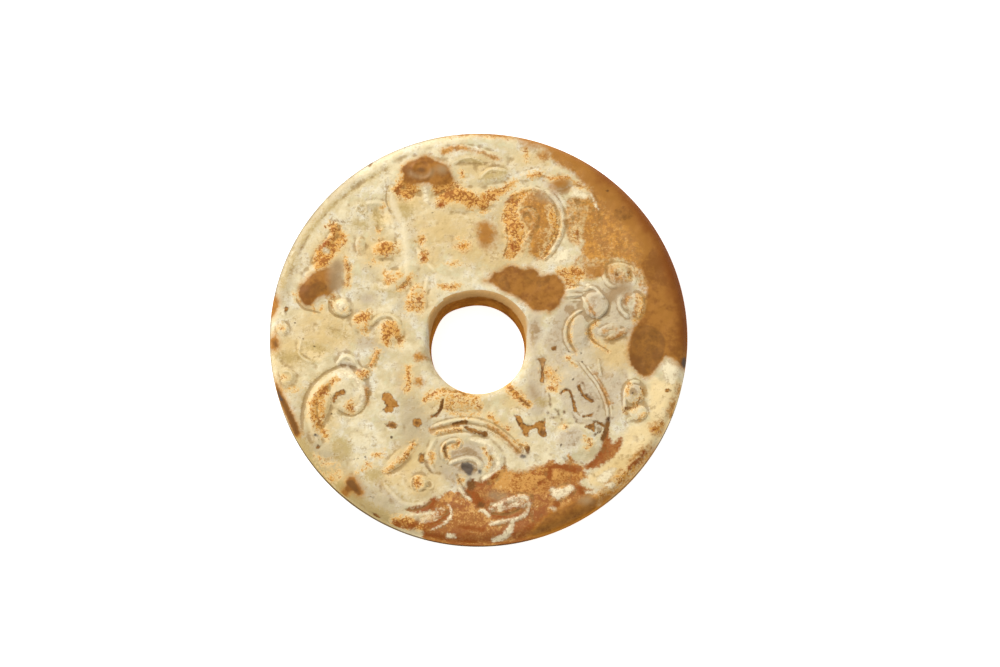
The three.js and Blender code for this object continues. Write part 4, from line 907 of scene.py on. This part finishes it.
greyVeilAndHighlight = {  # greyish film over the bare brown, and a painted highlight along the hat's ring
    "areas": {
        "mound": (0.9, [(-28.4, 8.8), (-28.8, 11), (-28.6, 13.8), (-27.4, 15), (-25.8, 14.4), (-25.4, 11.6),
            (-25.8, 9.2), (-27, 8.6)]),
        "bodyBlock": (0.8, [(9.6, -9.6), (11, -9.8), (11.3, -11.8), (10, -12.2), (9.6, -11)]),
        "wedgeTop": (-0.1, [(10.9, -4.3), (13.5, -4.2), (12.8, -5.6), (12.2, -6.2), (11.6, -5.4)]),
        "bottomOval": (0.5, [(2, -30.4), (3.2, -30), (5, -30.4), (5.8, -31), (4.6, -31.8), (3, -31.9),
            (2.1, -31.4)]),
    },
    "lines": [
        # painted highlight on the lower side of the hat's raised ring
        (0.5, [(-13.2, 32), (-12.6, 31.2), (-11, 30.9), (-9.4, 31.2), (-8.6, 32.2)]),
    ],
    "spots": [
        (27, 8.9, 2.6, 1.2, 8), (25.4, 7.2, 1.2, 1.2), (-7, 32.4, 1, 0.7), (20.4, -31.9, 1.2, 0.7),
        (12.2, 26.9, 1.3, 0.8, -20),
    ],
}
dullField = {  # greyer, duller skin, and two painted shadow lines
    "areas": {
        "leftRim": [(-40, 6), (-37.6, 16), (-32, 25.5), (-24, 32), (-23, 30), (-30, 24), (-34.4, 16), (-36.4, 6)],
        "bottomLeft": [(-37, -17), (-33.6, -23), (-29.4, -28), (-24, -33), (-17, -37.4), (-11, -39), (-11.5, -35.4),
            (-16.5, -32), (-22, -27.6), (-28, -22), (-33, -17)],
        "lowMiddle": [(-15, -11), (-9, -13), (-8.6, -19), (-11, -23), (-16, -25), (-15, -18)],
        "scroll": [(-9, -20), (-5, -19.6), (0, -20), (1, -24), (-2, -24), (-5, -26), (-3, -29), (-8, -27),
            (-10, -24)],
    },
    "lines": [
        (1.8, [(-33.4, -12), (-33.4, -15), (-32.8, -18), (-31.6, -21)]),
        (2.2, [(-19.6, 24.4), (-19.3, 22.4), (-19.1, 20.4)]),
        (1.6, [(-24.4, 2.6), (-22.6, 0.2), (-20.4, -1.2), (-18.6, -2.6)]), (1.6, [(-22.4, 7.6), (-20.4, 6.8)]),
        # the first line is a painted groove shadow
        (1.2, [(-19, -28), (-16.6, -31), (-13, -32.6)]), (1.2, [(-24, 2), (-22, -1.6), (-20, -1)]),
        # the second line is a painted shadow left of the ridge by the hat
        (1, [(-20.8, 12), (-20.6, 15), (-21, 17)]), (1.2, [(-17, 26.6), (-16.4, 24.6), (-15.4, 22.4)]),
    ],
    "spots": [
        (-10.4, -30.8, 2.2, 1.2), (3, 24, 1.6, 1.2), (4.3, 19.8, 0.8, 2.6), (-21, 7, 1.6, 1.4),
        (-24.6, -12.6, 1.2, 0.8), (10.4, -11, 0.8, 1.4), (-14.6, -9, 0.8, 2.6), (-19.2, 21.6, 0.8, 2),
        (16, 2, 2, 3), (-14.6, 6.6, 1, 1.6),
    ],
}
butterField = {  # warm bright cream
    "areas": {
        "right": [(33, -8.4), (36, -9), (39, -8.6), (38.4, -13), (36.6, -17.4), (34, -20.6), (31, -23), (29, -25),
            (26, -27), (22, -29), (20.4, -27.6), (24, -25.4), (27, -22), (28.2, -18), (32, -17), (33, -14),
            (32, -11)],
        "chin": [(23.6, -1.6), (26, -1), (28.6, 0), (28.6, -5.4), (26, -6.4), (24, -5.4), (23.4, -3.4)],
    },
    "spots": [(-18.4, 22.8, 1.6, 1.2), (-22.6, -13.6, 1, 1.4), (-26.8, 5.6, 1.2, 1.2), (-32, -3.6, 2.4, 1.4)],
}
warmWash = {  # faint warm staining round the motifs
    "spots": [
        (-19, 16.5, 5, 4), (-15.5, 10.8, 4.5, 3), (-28.5, 16, 4, 6, -30), (-22.3, 3, 4, 3), (-17, 0.8, 4, 3.5),
        (-1.5, 17, 6, 4), (-13, 26.5, 5, 4), (-4, 26.5, 8, 4), (9, 21, 7, 8), (-4.5, -13, 7, 3.5),
        (-14, -25, 6, 4, 45), (13.8, -7.8, 2.4, 2.2), (-6, 21, 9, 5), (-29.5, 1.2, 7, 5, -10), (3, 15, 5, 3),
        (-29.8, -14, 4, 7), (2, -17.6, 7, 1.8, -20), (26, -3.4, 5, 4), (24, 14, 6, 3), (-11, 7, 3, 4),
        (0, 33, 6, 3), (-36, -3.5, 4, 5), (-36.5, -8.5, 3, 3), (-11, -28.5, 5, 4), (4, -18, 6, 2.5, -35),
        (27, -27, 6, 4, 35), (20, 23, 4, 6), (-9, 16, 3, 4), (-13.4, -8.4, 2.5, 4), (-27, -28, 4, 4),
        (10.5, 34.5, 5, 2.5), (7, -12.5, 3, 3),
    ],
}
undersideStains = {  # plainer stains of the flat underside
    "areas": {
        "brownEdge": [(43, 8), (30, 8), (24, 20), (14, 27), (8, 34), (8, 42), (34, 42)],
        "brownFoot": [(4, -43), (6, -33), (14, -30), (20, -26), (24, -30), (28, -36)],
    },
    "lines": [
        (6, [(-38, -12), (-30, -20), (-24, -30)]),
    ],
    "spots": [(16, 4, 7, 5, 30), (-18, 14, 6, 4, -20), (-8, -26, 8, 4, 10), (-33, 6, 4, 6, 10)],
}
faceStains = dict(
    polishedBrown=polishedBrown, tanMarks=tanMarks, honeyTan=honeyTan, rustGrains=rustGrains, deepRed=deepRed,
    ashGrey=ashGrey, inkDark=inkDark, chalkPale=chalkPale, amberBand=amberBand, warmWash=warmWash,
    oliveTint=oliveTint, umberMarks=umberMarks, greyVeilAndHighlight=greyVeilAndHighlight, dullField=dullField,
    butterField=butterField, slateMarks=slateMarks,
)
stainFeel = {
    "deepest": 1.6,  # how far inside and outside its edge a stain's distances are kept
    "margin": 3.0,
    "sideFade": (0.3, 2.0),  # heights between which the underside's stains give way to the face's
    "sideLoss": 2.0,  # how much the face's marks shrink down the side, and the depths between which they do
    "sideDepth": (1.0, 2.5),
    "uprightDepth": (0.1, 1.2),  # depths between which the gloss goes
    # the rim's edge is darkened with painted shade, more where it turns away from the viewer, along with some stain
    "edgeFrom": (-1, 0, 0.25, 0.5, 0.75, 1),  # how far a place of the rim is turned to the viewer,
    "edgeHeight": (6.6, 6.35, 5.9, 5.5, 5.0, 3.6),  # and the height under which the rim is darkened there
    "edgeBand": 3.0,
    "edgeSlope": 0.5,
    "boreBand": 0.1,  # past the bore's rounding, and the depth at which its wall starts
    "boreStart": 0.005,
    "farSide": (-0.5, 0.6),  # from the bore's near side to its far side, as the sine of the angle
    "boreTop": {  # depth at which brown and tan start, at the near and the far side, and how fast they deepen
        "polishedBrown": (3.5, 0.9, 1.6),
        "boreBevel": (3.0, -0.12, 2.5),
    },
    "hollowSmoothing": 8,
}


def paint(px, py, layer):  # distance inside the stain's edge, below zero outside
    deepest, margin = layer.get("deepest", stainFeel["deepest"]), layer.get("margin", stainFeel["margin"])
    inside = np.full(px.shape, -margin, float)
    for outline in layer.get("areas", {}).values():
        limit, outline = outline if isinstance(outline, tuple) else (deepest, outline)
        loop = roundOff(outline, closed=True)
        near = nearPath(px, py, loop, margin)
        distance, _ = distanceToPath(px[near], py[near], np.vstack((loop, loop[:1])))
        crossings = np.zeros(len(near), int)
        for (fromX, fromY), (toX, toY) in zip(loop, np.roll(loop, -1, 0)):
            if fromY != toY:
                spans = (fromY > py[near]) != (toY > py[near])
                crossX = fromX + (py[near] - fromY) / (toY - fromY) * (toX - fromX)
                crossings += spans & (px[near] < crossX)
        signed = np.where(crossings % 2 == 1, np.minimum(distance, limit), -distance)
        inside[near] = np.maximum(inside[near], signed)
    for width, points in layer.get("lines", []):
        path = roundOff(points)
        near = nearPath(px, py, path, margin)
        distance, _ = distanceToPath(px[near], py[near], path)
        inside[near] = np.maximum(inside[near], width / 2 - distance)
    for oval in layer.get("spots", []):
        middle, halves = oval[:2], oval[2:4]
        near = nearPath(px, py, np.array([middle]), margin + max(halves))
        reach = ovalReach(px[near], py[near], *oval)
        inside[near] = np.maximum(inside[near], (1 - reach) * min(halves))
    return np.maximum(inside, -margin)


def neighbourMean(mesh, values, times):
    ends = np.empty(len(mesh.edges) * 2, np.int32)
    mesh.edges.foreach_get("vertices", ends)
    first, second = ends[::2], ends[1::2]
    size = len(values)
    count = np.bincount(first, minlength=size) + np.bincount(second, minlength=size)
    for _ in range(times):
        values = (np.bincount(first, values[second], size) + np.bincount(second, values[first], size)) / count
    return values


depth = blank["fieldHeight"] - z
outside = -stainFeel["margin"]
onTop = smoothStep(z, *stainFeel["sideFade"])
layers = {name: paint(x, y, layer) * onTop + outside * (1 - onTop) for name, layer in faceStains.items()}
layers["rimBrown"] = paint(x, y, rimBrown)
# painted shade with some stain on the rim's edge, reaching higher where the rim turns away from the viewer
edgeHeight = np.interp(-y / blank["discRadius"], stainFeel["edgeFrom"], stainFeel["edgeHeight"])
layers["edgeShadeAndStain"] = np.where(fromRim < stainFeel["edgeBand"], (edgeHeight - z) * stainFeel["edgeSlope"], outside)
for name in ("polishedBrown", "tanMarks", "honeyTan", "rustGrains", "deepRed", "inkDark", "chalkPale",
             "umberMarks", "slateMarks"):
    layers[name] -= stainFeel["sideLoss"] * smoothStep(depth, *stainFeel["sideDepth"])
layers["upright"] = smoothStep(depth, *stainFeel["uprightDepth"])
layers["rustGrains"] = np.minimum(layers["rustGrains"], -layers["chalkPale"])

# The bore's wall: brown at its far side, tan above that
boreAngle = np.arctan2(y - blank["boreCentre"][1], x - blank["boreCentre"][0])
far = smoothStep(np.sin(boreAngle), *stainFeel["farSide"])
inBore = (fromBore < blank["boreFrontEdge"] + stainFeel["boreBand"]) & (depth > stainFeel["boreStart"])
layers["boreBevel"] = np.full(x.shape, outside)
for name, (near, away, slope) in stainFeel["boreTop"].items():
    wall = np.minimum((depth - near - (away - near) * far) * slope, stainFeel["deepest"])
    layers[name] = np.where(inBore, np.maximum(layers[name], wall), layers[name])

underside = paint(x, y, undersideStains) * (1 - onTop) + outside * onTop
layers["honeyTan"] = np.maximum(layers["honeyTan"], underside)
# ridge tops, which the colour lightens: paler skin of the ridges and a painted highlight
layers["crest"] = crest
# how far each place lies below its neighbours; the colour darkens there with dirt and painted shade
layers["hollow"] = neighbourMean(disc.data, lift, stainFeel["hollowSmoothing"]) - lift
for name, values in layers.items():
    disc.data.attributes.new(name, "FLOAT", "POINT").data.foreach_set("value", values.astype(np.float32))
print("stains laid:", ", ".join(layers))

# The stone: cream weathered skin, stains over it, polished brown jade where the skin is gone
jadeLook = {
    "creamLight": (233, 225, 200),
    "cream": (229, 212, 171),
    "creamDull": (208, 188, 142),
    "sand": (164, 130, 74),
    "pale": (248, 239, 206),
    "freckle": (132, 94, 44),
    "chalk": (244, 228, 188),
    "chalkDull": (206, 184, 146),
    # crest: lighter ridge tops, partly the paler skin and partly a painted highlight
    "crest": (244, 227, 186),
    "celadon": (218, 210, 170),
    "dull": (186, 167, 130),
    "butter": (242, 214, 156),
    "wash": (216, 182, 116),
    "olive": (184, 156, 92),
    "ash": (198, 180, 152),
    "smoke": (168, 138, 98),
    "honey": (172, 111, 38),
    "honeyLight": (206, 140, 46),
    "honeyDeep": (150, 100, 32),
    "rustPale": (234, 204, 146),
    "rustLight": (218, 159, 74),
    "rust": (184, 108, 32),
    "rustDark": (146, 80, 20),
    "amber": (212, 154, 79),
    "amberDark": (164, 98, 34),
    "amberPale": (238, 204, 142),
    "red": (150, 75, 17),
    "brown": (168, 112, 44),
    "brownLight": (192, 138, 68),
    "brownDark": (138, 86, 30),
    "bevel": (196, 150, 88),
    "rimDeep": (128, 66, 14),
    # edge: painted shade on the rim's edge, with some stain
    "edge": (82, 58, 30),
    "umber": (112, 72, 28),
    "ink": (70, 46, 20),
    "slate": (78, 70, 64),
    # dirt and painted shade for the hollows
    "dirtAndShade": (146, 110, 58),
    "skinRoughness": 0.62,
    "brownRoughness": 0.5,
    "faceSpecular": 0.18,
    "sideSpecular": 0.0,
    "grainHeight": 0.07,
    "grainStrength": 0.7,
    "cloudRoughness": 0.55,
    "cloudShift": (0.013, 0.007, 0.011),  # moves one cloud away from the next
    "cellMiddle": 0.45,
}


def tone(name):  # sRGB to linear
    channels = [value / 255 for value in jadeLook[name]]
    return [c / 12.92 if c <= 0.04045 else ((c + 0.055) / 1.055) ** 2.4 for c in channels] + [1.0]


def weatheredJade():
    material = bpy.data.materials.new("weatheredJade")
    material.use_nodes = True
    tree = material.node_tree
    shader = tree.nodes["Principled BSDF"]
    coords = tree.nodes.new("ShaderNodeTexCoord").outputs["Object"]

    def put(socket, value):  # a link, a colour by its name, or a plain value
        if isinstance(value, bpy.types.NodeSocket):
            tree.links.new(value, socket)
        else:
            socket.default_value = tone(value) if isinstance(value, str) else value

    def node(kind, sockets, **settings):
        made = tree.nodes.new("ShaderNode" + kind)
        for name, value in settings.items():
            setattr(made, name, value)
        for name, value in sockets.items():
            put(made.inputs[name], value)
        return made

    def maths(operation, first, second=0.0):
        return node("Math", {0: first, 1: second}, operation=operation).outputs[0]

    def noise(size, detail, shift):  # a cloud of that grain in millimetres, about zero
        move = node("Mapping", {"Vector": coords, "Location": [shift * step for step in jadeLook["cloudShift"]]})
        cloud = node("TexNoise", {"Vector": move.outputs["Vector"], "Scale": 1 / (size * mm), "Detail": detail,
                                  "Roughness": jadeLook["cloudRoughness"]})
        return maths("SUBTRACT", cloud.outputs["Fac"], 0.5)

    def cells(size):  # distance from the middle of each cell, about zero
        cell = node("TexVoronoi", {"Vector": coords, "Scale": 1 / (size * mm)})
        return maths("SUBTRACT", cell.outputs["Distance"], jadeLook["cellMiddle"])

    def ramp(value, low, high, top=1.0):
        sockets = {"Value": value, "From Min": low, "From Max": high, "To Max": top}
        return node("MapRange", sockets, interpolation_type="SMOOTHSTEP").outputs["Result"]

    def between(value, low, high):
        return node("MapRange", {"Value": value, "To Min": low, "To Max": high}).outputs["Result"]

    def layer(name):
        return node("Attribute", {}, attribute_name=name).outputs["Fac"]

    clouds = {
        "broad": noise(7, 3, 1),
        "broadB": noise(4, 3, 7),
        "middle": noise(1.8, 3, 2),
        "middleB": noise(1.4, 3, 6),
        "fine": noise(0.6, 2, 3),
        "fineB": noise(0.5, 2, 5),
        "grain": noise(0.3, 1, 4),
        "net": cells(0.58),
        "thread": maths("ABSOLUTE", noise(0.95, 2, 9)),  # nothing along winding threads, more between them
        "vein": maths("ABSOLUTE", noise(2.2, 3, 12)),
    }

    def blend(*fields, **weights):  # sum of fields and of clouds by name, each with its weight
        total = None
        for field, weight in [*fields, *((clouds[name], weight) for name, weight in weights.items())]:
            part = maths("MULTIPLY", field, weight)
            total = part if total is None else maths("ADD", total, part)
        return total

    def ragged(name, **weights):  # a painted layer, its edge broken up by clouds with a reach in millimetres
        return maths("ADD", layer(name), blend(**weights))

    def lay(under, *rows):  # colours over each other: colour, field, where in the field it starts and is full, most
        for over, field, *band in rows:
            sockets = {0: ramp(field, *band), 6: under, 7: over}
            under = node("Mix", sockets, data_type="RGBA").outputs[2]
        return under

    # skin: cream in several tints, grey and warm fields, sandy grains, flecks and freckles
    ashField = ragged("ashGrey", middle=1.6, fineB=1)
    skin = lay(
        "creamDull",
        ("cream", blend(broad=1, middle=1, fine=0.2), -0.2, 0.18),
        ("creamLight", blend(broadB=1, middleB=0.8, fine=0.25), -0.06, 0.24),
        ("celadon", blend(broad=-0.6, middleB=-1, fineB=0.2), 0.02, 0.28, 0.7),
        ("dull", ragged("dullField", broadB=3, middle=3, fine=2), -1.6, 1.6, 0.8),
        ("butter", ragged("butterField", broadB=3, middle=2, fine=1), -1, 0.8, 0.85),
        ("ash", ashField, -1, 0.7, 0.8),
        ("smoke", ashField, 0.3, 0.9, 0.9),
        ("wash", ragged("warmWash", middle=4, fine=3, broadB=3), -1.5, 3, 0.7),
        ("olive", ragged("oliveTint", middle=1.6, fine=2, grain=1.2), -0.6, 0.9, 0.75),
        ("sand", blend(grain=0.5, fine=0.9, broadB=0.8, middleB=1.2), 0.12, 0.4, 0.45),
        ("pale", blend(fineB=0.3, middle=1.2, broad=0.6), 0.06, 0.34, 0.3),
        ("olive", blend(fineB=-0.7, middleB=1, broad=0.7), 0.1, 0.32, 0.42),
        # ridge tops lightened: the paler skin of the ridges, and a painted highlight
        ("crest", layer("crest"), 0.3, 0.9, 0.5),
        ("freckle", blend(net=-0.8, broadB=0.8, middle=0.5), 0.34, 0.44, 0.5),
    )

    # stains, each mottled in itself, and dirt with painted shade in the hollows
    honey = lay(
        "honey",
        ("honeyLight", blend(middleB=1.2, fine=0.9, vein=1), -0.12, 0.3),
        ("honeyDeep", blend(thread=-2.4, fineB=1.4, grain=0.8, broadB=0.8), -0.16, 0.16, 0.5),
        ("amberPale", blend(fine=1.3, middle=1, grain=-1), 0.1, 0.36, 0.25),
    )
    rustBase = lay("rustPale", ("rustLight", ragged("rustGrains", fine=2.5, grain=1.2, middle=1), -0.3, 0.6))
    rustField = blend((layer("rustGrains"), 0.5), thread=-8, middle=1.6, grain=0.8)
    rust = lay("rust", ("rustDark", blend((rustField, 0.5), fine=0.8, middleB=1.6), -0.3, 0.2))
    honeyed = layer("honeyTan")  # keeps the reddest amber off the honey
    amber = lay(
        "amberDark",
        ("amber", blend((honeyed, 0.05), broadB=1.2, middleB=0.7, fineB=0.8, grain=0.8), -0.26, 0.12),
        ("red", blend((honeyed, -0.07), vein=-3.2, middle=0.9, fine=1, grain=0.8, broad=1.4), -0.12, 0.22, 0.8),
        ("amberPale", blend(thread=1.2, fineB=1.2, middleB=0.9, grain=0.4), 0.26, 0.5, 0.45),
    )
    red = lay("red", ("rustDark", blend(fine=1, grain=0.8, middleB=0.8), -0.1, 0.2))
    chalkField = ragged("chalkPale", middleB=0.9, fine=0.8, grain=0.5)
    chalk = lay("chalkDull", ("chalk", blend((chalkField, 0.3), fineB=1, middle=1), -0.1, 0.2))
    skin = lay(
        skin,
        (honey, ragged("honeyTan", middle=2, fineB=1.6, broad=1.2), -0.7, 0.5, 0.92),
        (rustBase, ragged("rustGrains", middle=1.8, fine=2.2), -0.8, 0.15, 0.9),
        (rust, rustField, -0.26, 0.1, 0.82),
        (amber, ragged("amberBand", middle=1, fine=1.4), -0.25, 0.35, 0.95),
        (red, ragged("deepRed", fineB=1.6, middleB=1), -0.4, 0.4, 0.95),
        (chalk, chalkField, -0.25, 0.35, 0.9),
        # darker in the hollows of the carving: dirt, and painted shade
        ("dirtAndShade", blend((layer("hollow"), 1), fine=0.06, middle=0.05), 0.01, 0.065, 0.62),
    )

    # bare brown jade, the rim, painted shade along the rim's edge, and dark spots
    brownField = ragged("polishedBrown", middle=0.9, fine=0.7)
    tanField = ragged("tanMarks", middle=0.7, fine=0.8)
    rimField = ragged("rimBrown", broadB=4, middle=1.5, fine=0.8)
    brownEdge, tanEdge, rimEdge = (brownField, -0.3, 0.3), (tanField, -0.18, 0.18), (rimField, -1.6, 1.2)
    brown = lay("brownDark", ("brown", blend(broad=1, broadB=0.6, middleB=0.6, fine=0.4), -0.2, 0.18))
    tan = lay("brown", ("brownLight", blend(fineB=1, middle=1), -0.2, 0.25))
    tan = lay("umber", (tan, blend((tanField, 1), fineB=1.2, middleB=1.2), -0.15, 0.4))
    colour = lay(
        skin,
        (tan, *tanEdge),
        (honey, brownField, -1.1, 0.1, 0.55),
        ("bevel", ragged("boreBevel", middle=0.8), -0.5, 0.6, 0.95),
        # painted shade, with some stain, darkening the rim's edge
        ("edge", ragged("edgeShadeAndStain", middle=0.4, fine=0.2), -0.25, 0.45, 0.85),
        ("brown", *rimEdge),
        (brown, *brownEdge),
        ("rimDeep", rimField, 0.8, 4.6, 0.88),
        # grey film on the bare brown, and a painted highlight on the hat's ring
        ("smoke", ragged("greyVeilAndHighlight", broadB=1.6, middle=0.8, fine=0.4), -0.9, 1.1, 0.9),
        ("umber", ragged("umberMarks", middle=0.5, fine=0.6), -0.25, 0.35, 0.85),
        ("ink", ragged("inkDark", fine=0.6, middle=0.4), -0.04, 0.22, 0.85),
        ("slate", ragged("slateMarks", fine=0.6, middle=0.5), -0.25, 0.3, 0.85),
    )

    # finish: the skin is dull and grainy, the bare stone smooth
    bare = maths("MAXIMUM", maths("MAXIMUM", ramp(*brownEdge), ramp(*rimEdge)), ramp(*tanEdge))
    relief = maths("MULTIPLY", blend(fine=1, grain=1), maths("SUBTRACT", 1.0, bare))
    bump = node("Bump", {"Strength": jadeLook["grainStrength"], "Distance": jadeLook["grainHeight"] * mm,
                         "Height": relief})
    put(shader.inputs["Base Color"], colour)
    put(shader.inputs["Roughness"], between(bare, jadeLook["skinRoughness"], jadeLook["brownRoughness"]))
    put(shader.inputs["Specular IOR Level"],
        between(layer("upright"), jadeLook["faceSpecular"], jadeLook["sideSpecular"]))
    put(shader.inputs["Normal"], bump.outputs["Normal"])
    return material


disc.data.materials.append(weatheredJade())
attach(disc, "root")
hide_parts("bi_disc")
print("jade finished")

# Table, light and camera
studio = {
    "floorSize": 4.0,
    "floorColour": (0.93, 0.93, 0.93, 1.0),
    "floorRoughness": 0.9,
    "floorGlow": 0.75,
    "glowColour": (1, 1, 1, 1),
    "skyColour": (1.0, 0.99, 0.97, 1.0),
    "skyStrength": 0.52,
    "keyPlace": (-0.48, 0.54, 0.58),
    "keySize": 0.5,
    "keyPower": 8.8,
    "aim": (4.107, 0.311, 7.3),  # point of the face in the middle of the picture
    "elevation": 79.0,
    "distance": 800.0,
    "pictureWidth": 191.0,  # what the picture spans at the face
    "clip": (0.01, 20),
}


def setStage():
    bpy.ops.object.select_all(action="DESELECT")
    bpy.ops.mesh.primitive_plane_add(size=studio["floorSize"])
    floor = bpy.context.object
    floor.name = "paleFloor"
    paper = bpy.data.materials.new("palePaper")
    paper.use_nodes = True
    shader = paper.node_tree.nodes["Principled BSDF"]
    shader.inputs["Base Color"].default_value = studio["floorColour"]
    shader.inputs["Roughness"].default_value = studio["floorRoughness"]
    shader.inputs["Emission Color"].default_value = studio["glowColour"]
    shader.inputs["Emission Strength"].default_value = studio["floorGlow"]
    floor.data.materials.append(paper)


def setLight():
    scene = bpy.context.scene
    scene.world = scene.world or bpy.data.worlds.new("softRoom")
    scene.world.use_nodes = True
    sky = scene.world.node_tree.nodes["Background"]
    sky.inputs["Color"].default_value = studio["skyColour"]
    sky.inputs["Strength"].default_value = studio["skyStrength"]
    place = Vector(studio["keyPlace"])
    bpy.ops.object.light_add(type="AREA", location=place, rotation=(-place).to_track_quat("-Z", "Y").to_euler())
    key = bpy.context.object
    key.name = "softKey"
    key.data.size = studio["keySize"]
    key.data.energy = studio["keyPower"]


def setCamera():
    scene = bpy.context.scene
    tilt = math.radians(studio["elevation"])
    back = Vector((0, -math.cos(tilt), math.sin(tilt)))
    place = (Vector(studio["aim"]) + back * studio["distance"]) * mm
    bpy.ops.object.camera_add(location=place, rotation=(math.pi / 2 - tilt, 0, 0))
    scene.camera = bpy.context.object
    lens = scene.camera.data
    lens.lens = lens.sensor_width * studio["distance"] / studio["pictureWidth"]
    lens.clip_start, lens.clip_end = studio["clip"]
    scene.view_settings.view_transform = "Standard"


setStage()
setLight()
setCamera()
print("studio set")
